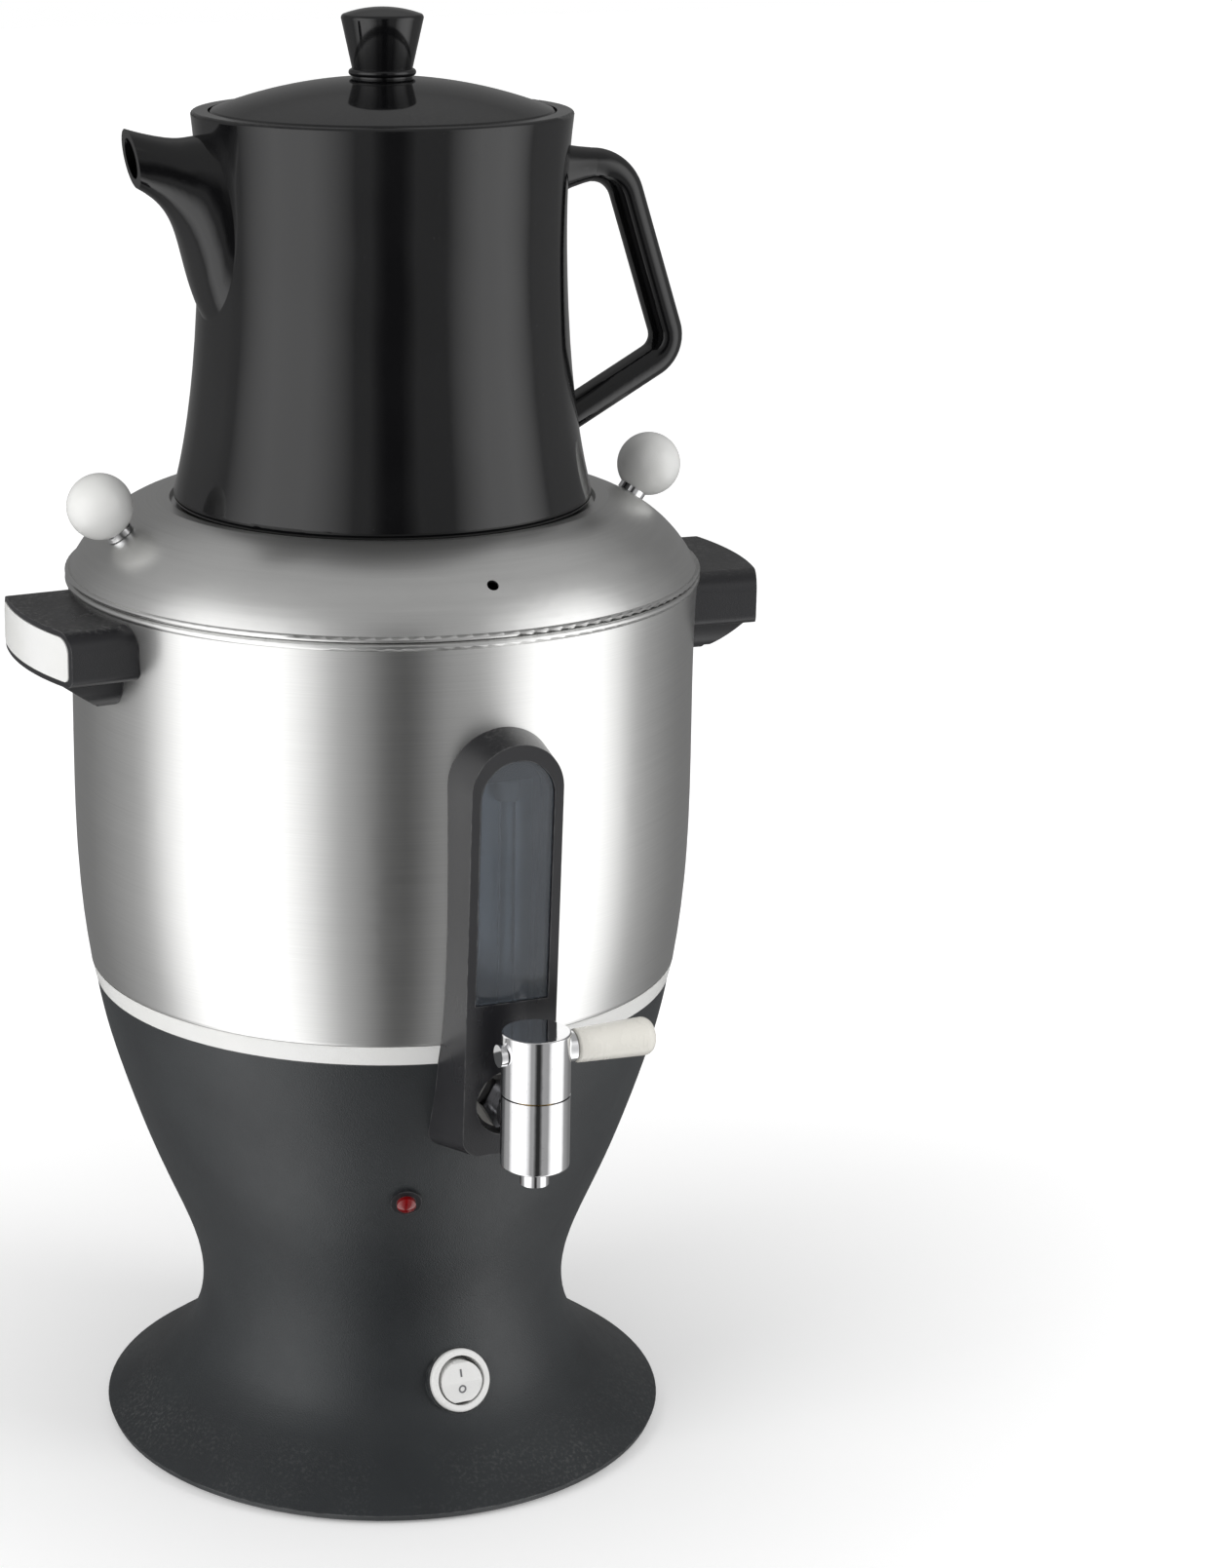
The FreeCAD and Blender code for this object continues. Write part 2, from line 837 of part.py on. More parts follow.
def tank_seal():
    start = vec(0, -tank_inner_place() + 3.2, shank_height)
    seal = cylinder(recess_radius - 1.6, 4.0, start, vec(0, -1, 0))
    bore = cylinder(shank_radius + 0.02, 4.0, start, vec(0, -1, 0))
    return seal.common(tank_solid(-tank_wall)).cut(bore)


def inner_nut():
    start = vec(0, -tank_inner_place() + 3.2 + 3.8, shank_height)
    nut = hexagon(shank_nut_across, 3.8, start, vec(0, -1, 0))
    return nut.cut(cylinder(shank_radius + 0.02, 3.8, start, vec(0, -1, 0)))


# Rocker switch and lamp, drawn about the origin with +Z outwards, then placed

def switch_case():
    rim = cylinder(switch_rim_radius, switch_rim_thickness, centre)
    edges = [edge for edge in rim.Edges if abs(edge.CenterOfMass.z - switch_rim_thickness) < 0.01]
    rim = rim.makeFillet(0.9, edges)
    barrel = cylinder(switch_barrel_radius, switch_barrel_depth, vec(0, 0, -switch_barrel_depth))
    room = cylinder(rocker_slot_radius, 20, vec(0, 0, -rocker_depth - 4.0))
    pins = cylinder(rocker_pin_radius + running_gap, 2 * switch_barrel_radius - 1.2,
                    vec(-switch_barrel_radius + 0.6, 0, -rocker_depth), vec(1, 0, 0))
    tabs = []
    for side in (-1, 1):
        tabs.append(box(vec(-3.2, side * 4 - 0.4, -switch_barrel_depth - 8), vec(3.2, side * 4 + 0.4, -switch_barrel_depth)))
    case = carve(rim.fuse([barrel] + tabs), [room, pins])
    return placed(case, switch_frame())


def switch_rocker():
    """Rocker with two flat facets that meet at the middle. At rest its lower half is pressed in."""
    top = switch_rim_thickness + rocker_rise - 0.4
    body = cylinder(rocker_radius, top + rocker_depth + 1.2, vec(0, 0, -rocker_depth - 1.2))
    fall = math.tan(math.radians(rocker_tilt)) * rocker_radius
    wedge = Part.Face(Part.makePolygon([
        vec(-20, -rocker_radius - 1, top - fall), vec(-20, 0, top), vec(-20, rocker_radius + 1, top - fall),
        vec(-20, rocker_radius + 1, top + 9), vec(-20, -rocker_radius - 1, top + 9),
        vec(-20, -rocker_radius - 1, top - fall)])).extrude(vec(40, 0, 0))
    belly = cylinder(rocker_radius, 40, vec(-20, 0, -rocker_depth + 2.4), vec(1, 0, 0))
    pin = cylinder(rocker_pin_radius, 2 * switch_barrel_radius - 1.8,
                   vec(-switch_barrel_radius + 0.9, 0, -rocker_depth), vec(1, 0, 0))
    rocker = body.cut(wedge).common(belly).fuse(pin)
    rocker.rotate(vec(0, 0, -rocker_depth), vec(1, 0, 0), rocker_tilt)
    return placed(rocker, switch_frame())


def indicator_case():
    barrel = cylinder(lamp_barrel_radius, lamp_barrel_depth, vec(0, 0, -lamp_barrel_depth))
    rim = cylinder(lamp_rim_radius, lamp_rim_thickness + 1.0, vec(0, 0, -1.0))
    room = cylinder(lamp_barrel_radius - 0.9, 20, vec(0, 0, -4))
    case = placed(barrel, lamp_frame()).fuse(placed(rim, lamp_frame()).cut(base_solid(0.03)))
    return case.cut(placed(room, lamp_frame()))


def indicator_lens():
    radius = lamp_barrel_radius - 0.95
    stem = cylinder(radius, 4 + lamp_rim_thickness, vec(0, 0, -4))
    ball = Part.makeSphere(5.0, vec(0, 0, lamp_rim_thickness + 2.2 - 5.0))
    dome = ball.common(cylinder(radius, 8, vec(0, 0, lamp_rim_thickness)))
    return placed(stem.fuse(dome), lamp_frame())


def cable_gland():
    start = vec(0, gland_seat(), gland_height)
    rim = cylinder(gland_rim_radius, gland_rim_thickness + 1.5, start - vec(0, 1.5, 0), vec(0, 1, 0))
    rim = rim.cut(base_solid(0.03))
    barrel = cylinder(gland_barrel_radius, gland_depth + 1, start - vec(0, gland_depth, 0), vec(0, 1, 0))
    bore = cylinder(gland_bore, 40, start - vec(0, 20, 0), vec(0, 1, 0))
    return rim.fuse(barrel).cut(bore)


def gland_nut():
    start = vec(0, gland_seat() - base_wall - 0.9 - 4.0, gland_height)
    nut = hexagon(16.0, 4.0, start, vec(0, 1, 0))
    return nut.cut(cylinder(gland_barrel_radius + 0.02, 4.0, start, vec(0, 1, 0)))


# Side handles, drawn towards +X, then turned or mirrored into place

def rounded_profile(half_width, bottom, top, top_round, bottom_round, place):
    """Upright rounded rectangle in the plane x = place."""
    def corner(y_sign, z_edge, z_sign, radius):
        y_centre = y_sign * (half_width - radius)
        z_centre = z_edge - z_sign * radius
        diagonal = radius * math.sqrt(0.5)
        side = vec(place, y_sign * half_width, z_centre)
        middle = vec(place, y_centre + y_sign * diagonal, z_centre + z_sign * diagonal)
        flat = vec(place, y_centre, z_edge)
        return side, middle, flat
    top_right = corner(1, top, 1, top_round)
    top_left = corner(-1, top, 1, top_round)
    low_left = corner(-1, bottom, -1, bottom_round)
    low_right = corner(1, bottom, -1, bottom_round)
    return Part.Wire([
        arc(*top_right), line(top_right[2], top_left[2]),
        arc(*reversed(top_left)), line(top_left[0], low_left[0]),
        arc(*low_left), line(low_left[2], low_right[2]),
        arc(*reversed(low_right)), line(low_right[0], top_right[0]),
    ])


def handle_outer():
    bottom = handle_top_height - handle_thickness
    shelf = Part.Face(rounded_profile(handle_half_width, bottom, handle_top_height, handle_round, 3.0, 80))
    shelf = shelf.extrude(vec(handle_reach - 80, 0, 0))
    bow_centre = vec(handle_reach - handle_bow, 0, 0)
    shelf = shelf.common(cylinder(handle_bow, 400, bow_centre))
    corbel = Part.Face(rounded_profile(corbel_half_width, corbel_bottom_height, bottom + 6, 2.0, corbel_round, 80))
    corbel = corbel.extrude(vec(handle_reach - 82, 0, 0))
    slope = [
        vec(tank_rim_radius + 1.5, -50, corbel_bottom_height - 1),
        vec(handle_reach - 2, -50, bottom + 0.5),
        vec(handle_reach + 20, -50, bottom + 0.5),
        vec(handle_reach + 20, -50, corbel_bottom_height - 1),
    ]
    slope.append(slope[0])
    corbel = corbel.cut(Part.Face(Part.makePolygon(slope)).extrude(vec(0, 100, 0)))
    corbel = corbel.common(cylinder(handle_bow - 1.5, 400, bow_centre))
    return shelf.fuse(corbel).removeSplitter()


def handle_pocket():
    """Finger hollow, open below, between the root plate and the outer wall."""
    low = corbel_bottom_height - 5
    high = handle_top_height - handle_wall
    inner = tank_rim_radius + handle_wall
    outer = handle_reach - handle_wall - panel_thickness
    half = corbel_half_width - handle_wall
    return box(vec(inner, -half, low), vec(outer, half, high)).common(
        cylinder(handle_bow - handle_wall - panel_thickness, 400, vec(handle_reach - handle_bow, 0, 0)))


def panel_shape(grow, depth):
    bottom = handle_top_height - handle_thickness + panel_margin - grow
    top = handle_top_height - panel_margin + grow
    face = Part.Face(rounded_profile(handle_half_width - panel_margin + grow, bottom, top,
                                     handle_round - panel_margin, 2.0, 80))
    plate = face.extrude(vec(60, 0, 0))
    bow_centre = vec(handle_reach - handle_bow, 0, 0)
    outer = cylinder(handle_bow + 0.25, 400, bow_centre)
    inner = cylinder(handle_bow - depth, 400, bow_centre)
    return plate.common(outer).cut(inner)


def handle_bolt_spots():
    return [vec(0, side * handle_bolt_spread / 2, handle_bolt_height) for side in (-1, 1)]


def to_side(shape, side):
    """Turns a piece drawn towards +X a little forward, and mirrors it for the left side."""
    turned = around(shape, -handle_forward)
    if side < 0:
        turned = turned.mirror(centre, vec(1, 0, 0))
    return turned


def handle_bolt_hole(side, across, radius):
    hole = cylinder(radius, 50, vec(80, across * handle_bolt_spread / 2, handle_bolt_height), vec(1, 0, 0))
    return to_side(hole.common(cylinder(tank_rim_radius + 12, 400, centre)), side)


def side_handle(side):
    body = handle_outer()
    cuts = [handle_pocket(), panel_shape(seat_gap, panel_thickness + seat_gap)]
    body = to_side(carve(body, cuts), side)
    skin = tank_solid(seat_gap).fuse(Part.makeTorus(tank_rim_radius, tank_bead_radius + seat_gap,
                                                    vec(0, 0, tank_rim_height - tank_bead_radius)))
    holes = [handle_bolt_hole(side, across, handle_bolt_radius + seat_gap) for across in (-1, 1)]
    return carve(body, [skin] + holes)


def handle_panel(side):
    return to_side(panel_shape(0, panel_thickness), side)


def handle_bolt(side, across):
    """Bolt from inside the tank through the handle's root plate, with a washer face and a nut."""
    place = across * handle_bolt_spread / 2
    skin = math.sqrt((tank_rim_radius - tank_wall - 1.0) ** 2 - (abs(place) + bolt_head_radius) ** 2)
    end = tank_rim_radius + handle_wall + 4.6
    shank = cylinder(handle_bolt_radius, end - skin, vec(skin, place, handle_bolt_height), vec(1, 0, 0))
    head = cylinder(bolt_head_radius, 2.0, vec(skin - 2.0, place, handle_bolt_height), vec(1, 0, 0))
    nut_place = tank_rim_radius + handle_wall + 0.05
    nut = hexagon(nut_across, nut_height, vec(nut_place, place, handle_bolt_height), vec(1, 0, 0))
    return to_side(shank.fuse([head, nut]), side)


# Water lid

def lid_points(drop):
    return grown([
        rz(lid_edge_radius - 0.4, lid_edge_height + 0.6),
        rz(lid_shoulder_radius + 5.6, lid_shoulder_height - 6.6),
        rz(lid_shoulder_radius, lid_shoulder_height),
        rz((lid_shoulder_radius + lid_crest_radius) / 2, lid_crest_height - 3.4),
        rz(lid_crest_radius, lid_crest_height),
    ], -drop)


def lid_surface(radius):
    """Height and outward normal of the lid's dome at a radius."""
    curve = Part.BSplineCurve()
    curve.interpolate(lid_points(0))
    span = curve.LastParameter - curve.FirstParameter
    steps = [curve.value(curve.FirstParameter + k / 1000 * span) for k in range(1001)]
    best = min(range(1, 1000), key=lambda k: abs(steps[k].x - radius))
    along = steps[best + 1] - steps[best - 1]
    along.normalize()
    return steps[best], vec(abs(along.z), 0, abs(along.x))


def lid_knob_frame(side):
    foot, normal = lid_surface(knob_foot_radius)
    point = vec(side * foot.x, 0, foot.z)
    return point, vec(side * normal.x, 0, normal.z)


def water_lid():
    top = lid_points(0)
    under = lid_points(lid_sheet)
    seat = pot_seat_height
    inner_seat = seat - lid_sheet
    step = pot_seat_radius + 0.6
    dome = spin([
        smooth(top),
        line(top[-1], rz(step, lid_crest_height - 0.3)),
        line(rz(step, lid_crest_height - 0.3), rz(pot_seat_radius, seat)),
        line(rz(pot_seat_radius, seat), rz(lid_opening_radius, seat)),
        line(rz(lid_opening_radius, seat), rz(lid_opening_radius, inner_seat)),
        line(rz(lid_opening_radius, inner_seat), rz(pot_seat_radius + 1.2, inner_seat)),
        line(rz(pot_seat_radius + 1.2, inner_seat), rz(under[-1].x, under[-1].z)),
        smooth(list(reversed(under))),
        line(under[0], top[0]),
    ])
    bead = Part.makeTorus(lid_edge_radius, lid_bead_radius, vec(0, 0, lid_edge_height))
    flange = ring(lid_edge_radius, lid_skirt_radius - 1.2, lid_edge_height - 0.6, lid_edge_height + 0.4)
    skirt = ring(lid_skirt_radius, lid_skirt_radius - 1.0, lid_edge_height - lid_skirt_depth, lid_edge_height + 0.4)
    hem = Part.makeTorus(lid_opening_radius, 0.9, vec(0, 0, seat - 1.2))
    lid = dome.fuse([bead, flange, skirt, hem])
    vent_foot, vent_normal = lid_surface(vent_place)
    vent_axis = vec(0, -vent_normal.x, vent_normal.z)
    vent_start = vec(0, -vent_foot.x, vent_foot.z) - vent_axis * 5
    cuts = [cylinder(vent_radius, 10, vent_start, vent_axis)]
    for side in (-1, 1):
        point, normal = lid_knob_frame(side)
        cuts.append(cylinder(knob_screw_radius + 0.05, 10, point - normal * 5, normal))
    return carve(lid, cuts)


def lid_knob_collar(side):
    point, normal = lid_knob_frame(side)
    collar = cylinder(knob_collar_radius, knob_collar_height + 1, point - normal, normal)
    under = cylinder(knob_collar_radius + 1, 4, point - normal * 3.95, normal)
    bore = cylinder(knob_screw_radius + 0.05, 8, point - normal * 2, normal)
    return carve(collar, [under, bore])


def lid_knob(side):
    point, normal = lid_knob_frame(side)
    middle = point + normal * (knob_ball_radius + knob_collar_height - 1.0)
    ball = Part.makeSphere(knob_ball_radius, middle)
    flat = cylinder(knob_ball_radius, 6, point + normal * (knob_collar_height + 0.07), normal * -1)
    bore = cylinder(knob_screw_radius + 0.02, 11.2, point, normal)
    return carve(ball, [flat, bore])


def lid_knob_screw(side):
    point, normal = lid_knob_frame(side)
    under = point - normal * (lid_sheet + 0.35)
    shank = cylinder(knob_screw_radius, 12, under, normal)
    head = cylinder(3.4, 1.8, under - normal * 1.8, normal)
    return shank.fuse(head)


# Teapot

def pot_bottom():
    return pot_seat_height + moving_gap


def pot_side(amount):
    low = pot_bottom()
    return grown([
        rz(pot_heel_radius, low + pot_heel_height),
        rz(pot_low_radius, low + pot_low_height),
        rz(pot_waist_radius, low + pot_waist_height),
        rz(pot_neck_radius, low + pot_neck_height),
        rz(pot_rim_radius, low + pot_height),
    ], amount)


def pot_outer():
    low = pot_bottom()
    side = pot_side(0)
    top = low + pot_height
    side[-1] = rz(pot_rim_radius, top - 1.0)
    lip = rz(pot_rim_radius - 1.4, top)
    return spin([
        line(rz(0, low), rz(pot_base_radius, low)),
        arc(rz(pot_base_radius, low), rz(pot_heel_radius - 0.7, low + 1.0), side[0]),
        smooth(side),
        arc(side[-1], rz(pot_rim_radius - 0.35, top - 0.3), lip),
        line(lip, rz(0, top)),
        line(rz(0, top), rz(0, low)),
    ])


def pot_inner():
    low = pot_bottom()
    side = pot_side(-pot_wall)
    floor = low + pot_floor
    ledge_top = low + pot_height - pot_ledge_depth
    side[0] = rz(pot_heel_radius - pot_wall - 0.6, floor + 6)
    side[-1] = rz(potlid_radius + 0.5, ledge_top - pot_ledge_thickness - 4)
    return spin([
        line(rz(0, floor), rz(side[0].x - 6, floor)),
        arc(rz(side[0].x - 6, floor), rz(side[0].x - 1.76, floor + 1.76), side[0]),
        smooth(side),
        line(side[-1], rz(pot_ledge_radius, ledge_top - pot_ledge_thickness)),
        line(rz(pot_ledge_radius, ledge_top - pot_ledge_thickness), rz(pot_ledge_radius, ledge_top)),
        line(rz(pot_ledge_radius, ledge_top), rz(potlid_radius + 0.6, ledge_top)),
        line(rz(potlid_radius + 0.6, ledge_top), rz(potlid_radius + 0.6, ledge_top + 10)),
        line(rz(potlid_radius + 0.6, ledge_top + 10), rz(0, ledge_top + 10)),
        line(rz(0, ledge_top + 10), rz(0, floor)),
    ])


def upright_ellipse(place, middle, half_height, half_width):
    """Ellipse in the plane x = place, longer way up."""
    long_way, short_way = max(half_height, half_width), min(half_height, half_width)
    ellipse = Part.Ellipse(centre, long_way, short_way).toShape()
    wire = Part.Wire(ellipse)
    if half_height >= half_width:
        turn = FreeCAD.Rotation(vec(0, 0, 1), vec(0, -1, 0), vec(1, 0, 0), "ZXY")
    else:
        turn = FreeCAD.Rotation(vec(0, 1, 0), vec(0, 0, 1), vec(1, 0, 0), "ZXY")
    wire.Placement = FreeCAD.Placement(vec(place, 0, middle), turn)
    return wire


def spout_sections():
    """Distance from the axis, height of the middle over the pot's foot, half height and half width."""
    return [
        (52.0, 84.0, 33.0, 18.5),
        (58.0, 88.0, 28.0, 16.8),
        (63.5, 96.2, 19.2, 13.4),
        (69.0, 103.6, 11.9, 10.6),
        (75.0, 107.4, 9.2, 8.8),
        (84.0, 111.6, 7.6, 7.4),
    ]


def spout(shrink):
    wires = []
    for place, middle, half_height, half_width in spout_sections():
        wires.append(upright_ellipse(-place, pot_bottom() + middle, half_height - shrink, half_width - shrink))
    return Part.makeLoft(wires, True)


def lip_cutter():
    """Slanted plane that opens the end of the spout."""
    low = pot_bottom()
    corners = [vec(-78.6, -20, low + 99), vec(-82.6, -20, low + 120), vec(-99, -20, low + 120), vec(-99, -20, low + 99)]
    corners.append(corners[0])
    return Part.Face(Part.makePolygon(corners)).extrude(vec(0, 40, 0))


def rounded_path(points, radii):
    """Straight runs joined by tangent arcs."""
    edges = []
    start = points[0]
    for k in range(1, len(points) - 1):
        corner = points[k]
        before = (points[k - 1] - corner).normalize()
        after = (points[k + 1] - corner).normalize()
        half = before.getAngle(after) / 2
        reach = radii[k - 1] / math.tan(half)
        enter = corner + before * reach
        leave = corner + after * reach
        bisector = (before + after).normalize()
        middle = corner + bisector * (radii[k - 1] / math.sin(half) - radii[k - 1])
        edges.append(line(start, enter))
        edges.append(arc(enter, middle, leave))
        start = leave
    edges.append(line(start, points[-1]))
    return Part.Wire(edges)


def pot_handle():
    low = pot_bottom()
    points = [vec(56.5, 0, low + 102.5), vec(80.0, 0, low + 101.5), vec(99.6, 0, low + 42.0), vec(58.5, 0, low + 19.5)]
    path = rounded_path(points, [13.0, 9.0])
    start = upright_ellipse(points[0].x, points[0].z, strap_half_thickness, strap_half_width)
    strap = path.makePipeShell([start], True, False)
    root = Part.makeLoft([
        upright_ellipse(54.5, low + 100.5, 9.6, 8.2),
        upright_ellipse(60.5, low + 101.3, 7.4, 7.2),
        upright_ellipse(70.0, low + 102.0, strap_half_thickness, strap_half_width),
    ], True)
    return strap.fuse(root)


def teapot():
    body = pot_outer().fuse([spout(0).cut(lip_cutter()), pot_handle()])
    return carve(body, [pot_inner(), spout(spout_wall)])


def potlid_edge():
    return pot_bottom() + pot_height - pot_ledge_depth + moving_gap


def potlid_crown(radius, drop):
    """Arc of the lid's dome, from its edge to the axis."""
    edge = potlid_edge() + 3.0
    rise = potlid_rise
    ball = (potlid_radius ** 2 + rise ** 2) / (2 * rise)
    middle = edge + rise - ball
    return middle + math.sqrt((ball - drop) ** 2 - radius ** 2)


def teapot_lid():
    low = potlid_edge()
    edge = low + 3.0
    reach = potlid_radius - 0.6
    inner = potlid_skirt_radius - 2.2
    half = potlid_radius / 2
    lid = spin([
        line(rz(potlid_skirt_radius, low), rz(potlid_radius, low)),
        line(rz(potlid_radius, low), rz(potlid_radius, edge - 0.6)),
        line(rz(potlid_radius, edge - 0.6), rz(reach, edge)),
        arc(rz(reach, edge), rz(half, potlid_crown(half, 0)), rz(0, potlid_crown(0, 0))),
        line(rz(0, potlid_crown(0, 0)), rz(0, potlid_crown(0, potlid_wall))),
        arc(rz(0, potlid_crown(0, potlid_wall)), rz(half, potlid_crown(half, potlid_wall)), rz(inner, low + 1.0)),
        line(rz(inner, low + 1.0), rz(inner, low - potlid_skirt_depth)),
        line(rz(inner, low - potlid_skirt_depth), rz(potlid_skirt_radius, low - potlid_skirt_depth)),
        line(rz(potlid_skirt_radius, low - potlid_skirt_depth), rz(potlid_skirt_radius, low)),
    ])
    return lid.cut(cylinder(potknob_screw_radius + 0.05, 40, vec(0, 0, low - 10)))


def cap_height(radius, edge, rise):
    """Height of a shallow round cap over its own edge, at a radius."""
    ball = (edge ** 2 + rise ** 2) / (2 * rise)
    return math.sqrt(ball ** 2 - radius ** 2) - (ball - rise)


def potknob_base():
    return potlid_crown(potknob_root_radius, 0) - 0.2


def teapot_lid_knob():
    low = potknob_base()
    top = low + potknob_height
    crown = top + potknob_crown
    root = potknob_root_radius
    bead = potknob_bead_radius
    bore = potknob_screw_radius + 0.02
    depth = low + 12
    crown_edge = potknob_top_radius - 0.9

    def under(radius):
        return rz(radius, potlid_crown(radius, 0) + 0.05)

    return spin([
        arc(under(bore), under((bore + root) / 2), under(root)),
        line(under(root), rz(root, low + 0.8)),
        arc(rz(root, low + 0.8), rz(root + bead, low + 0.8 + bead), rz(root, low + 0.8 + 2 * bead)),
        line(rz(root, low + 0.8 + 2 * bead), rz(potknob_top_radius, top - 1.2)),
        arc(rz(potknob_top_radius, top - 1.2), rz(potknob_top_radius - 0.1, top - 0.2),
            rz(crown_edge, top + 0.4)),
        arc(rz(crown_edge, top + 0.4), rz(crown_edge / 2, top + 0.4 + cap_height(crown_edge / 2, crown_edge, crown - top - 0.4)),
            rz(0, crown)),
        line(rz(0, crown), rz(0, depth)),
        line(rz(0, depth), rz(bore, depth)),
        line(rz(bore, depth), under(bore)),
    ])


def teapot_lid_screw():
    under = potlid_crown(4, potlid_wall) - 0.2
    shank = cylinder(potknob_screw_radius, 12.5, vec(0, 0, under))
    head = cylinder(4.5, 2.0, vec(0, 0, under - 2.0))
    return shank.fuse(head)


def build():
    save(base_housing(), "base_housing")
    save(bottom_cover(), "bottom_cover")
    for k, angle in enumerate(post_angles):
        save(cover_screw(angle), "cover_screw_" + str(k + 1))
        save(rubber_foot(angle - 45), "rubber_foot_" + str(k + 1))
    save(trim_ring(), "trim_ring")
    save(tank(), "tank")
    save(heating_plate(), "heating_plate")
    save(heating_element(), "heating_element")
    save(thermostat(), "thermostat")
    save(thermal_fuse(), "thermal_fuse")
    for k, angle in enumerate(stud_angles):
        save(tank_stud(angle), "tank_stud_" + str(k + 1))
        save(stud_nut(angle), "stud_nut_" + str(k + 1))
    save(terminal_block(), "terminal_block")
    save(gauge_tower(), "gauge_tower")
    save(gauge_window(), "gauge_window")
    save(gauge_tube(), "gauge_tube")
    save(gauge_seal(False), "gauge_seal_lower")
    save(gauge_seal(True), "gauge_seal_upper")
    save(tap_body(), "tap_body")
    save(tap_plug(), "tap_plug")
    save(tap_cap(), "tap_cap")
    save(lever_stem(), "lever_stem")
    save(lever_grip(), "lever_grip")
    save(tap_washer(), "tap_washer")
    save(tap_nut(), "tap_nut")
    save(tank_seal(), "tank_seal")
    save(inner_nut(), "inner_nut")
    save(switch_case(), "switch_case")
    save(switch_rocker(), "switch_rocker")
    save(indicator_case(), "indicator_case")
    save(indicator_lens(), "indicator_lens")
    save(cable_gland(), "cable_gland")
    save(gland_nut(), "gland_nut")
    for side, name in ((-1, "left"), (1, "right")):
        save(side_handle(side), "side_handle_" + name)
        save(handle_panel(side), "handle_panel_" + name)
        save(Part.makeCompound([handle_bolt(side, -1), handle_bolt(side, 1)]), "handle_bolts_" + name)
        save(lid_knob(side), "lid_knob_" + name)
        save(lid_knob_collar(side), "lid_knob_collar_" + name)
        save(lid_knob_screw(side), "lid_knob_screw_" + name)
    save(water_lid(), "water_lid")
    save(teapot(), "teapot")
    save(teapot_lid(), "teapot_lid")
    save(teapot_lid_knob(), "teapot_lid_knob")
    save(teapot_lid_screw(), "teapot_lid_screw")


build()
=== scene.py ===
"""The samovar as it looks: its finishes, the marks on its switch, the floor, the light and the camera."""

import math

import bmesh
import bpy
from mathutils import Matrix, Vector
from mathutils.bvhtree import BVHTree


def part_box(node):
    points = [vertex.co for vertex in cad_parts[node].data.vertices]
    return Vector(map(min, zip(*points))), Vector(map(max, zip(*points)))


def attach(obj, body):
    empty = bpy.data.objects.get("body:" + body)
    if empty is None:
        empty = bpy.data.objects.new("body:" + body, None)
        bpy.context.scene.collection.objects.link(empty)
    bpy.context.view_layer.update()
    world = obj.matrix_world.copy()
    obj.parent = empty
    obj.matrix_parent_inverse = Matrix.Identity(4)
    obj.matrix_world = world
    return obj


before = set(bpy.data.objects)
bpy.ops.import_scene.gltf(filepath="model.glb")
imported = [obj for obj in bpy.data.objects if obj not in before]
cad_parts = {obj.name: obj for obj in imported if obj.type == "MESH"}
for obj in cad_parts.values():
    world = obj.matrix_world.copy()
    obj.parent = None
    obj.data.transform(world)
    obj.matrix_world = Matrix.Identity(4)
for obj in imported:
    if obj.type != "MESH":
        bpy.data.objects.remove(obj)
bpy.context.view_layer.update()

MM = 0.001

# where the camera stands and what it frames
CAMERA_PLACE = (-0.3799, -0.9896, 0.5360)
CAMERA_TARGET = (0.0, 0.0, 0.224)
LENS = 78.3
SENSOR = 36.0
SHIFT_ACROSS = 0.149
SHIFT_UP = -0.0134

# the pale studio floor
FLOOR_HALF = 6.0
FLOOR_TONE = (0.84, 0.84, 0.84, 1)
FLOOR_PALER = (0.87, 0.87, 0.87, 1)
FLOOR_LIFT_NEAR = 0.24
FLOOR_LIFT_FAR = 0.62
FLOOR_FADE = (0.10, 0.50)

# the studio tent that only gloss and metal see: its levels, and where its soft boxes and gaps are
TENT_RADIUS = 2.8
TENT_SIDE_LEVEL = 0.38
TENT_GAP_LEVEL = 0.03
TENT_BACK_LEVEL = 0.20
TENT_OVERHEAD_LEVEL = 0.42
SOFT_BOX_LEVEL = 1.8
LEFT_BOX = (-77, 26, 14)
RIGHT_BOX = (50, 20, 12)
FRONT_GAP = (-14, 9, 5)
BACK_OPENING = (159, 58, 14)

# the panels that light the samovar: place, width, height and power
PANEL_AIM = (0, 0, 0.25)
LEFT_PANEL = ((-1.72, -0.42, 0.75), 1.0, 1.5, 20)
RIGHT_PANEL = ((1.36, -1.10, 0.75), 0.6, 1.5, 14)
WORLD_LIGHT = 0.50

# the switch faces out and a little up; its marks lie above and below the rocker's middle
SWITCH_BEARING = math.radians(2.0)
SWITCH_TILT = math.radians(20.0)
MARK_PROUD = 0.12 * MM
MARK_DROP = 2.6 * MM
BAR_HALF_WIDTH = 0.28 * MM
BAR_HALF_HEIGHT = 1.25 * MM
RING_RADII = (0.80 * MM, 1.32 * MM)

DUST_COLOUR = (0.55, 0.54, 0.52, 1)


# ---- shader helpers ----

def place(tree, kind, settings=None, **sockets):
    """Adds one shader node. A socket takes a value, or another node's output to link from."""
    made = tree.nodes.new("ShaderNode" + kind)
    for name, value in (settings or {}).items():
        setattr(made, name, value)
    for name, value in sockets.items():
        fill(tree, made.inputs[name.replace("_", " ")], value)
    return made


def fill(tree, socket, value):
    """Sets a socket, or links it where the value is another node's output."""
    if isinstance(value, bpy.types.NodeSocket):
        tree.links.new(value, socket)
    else:
        socket.default_value = value


def sum_of(tree, operation, first, second=0.0, clamp=False):
    """One Math node, by its operation."""
    made = tree.nodes.new("ShaderNodeMath")
    made.operation = operation
    made.use_clamp = clamp
    fill(tree, made.inputs[0], first)
    fill(tree, made.inputs[1], second)
    return made.outputs[0]


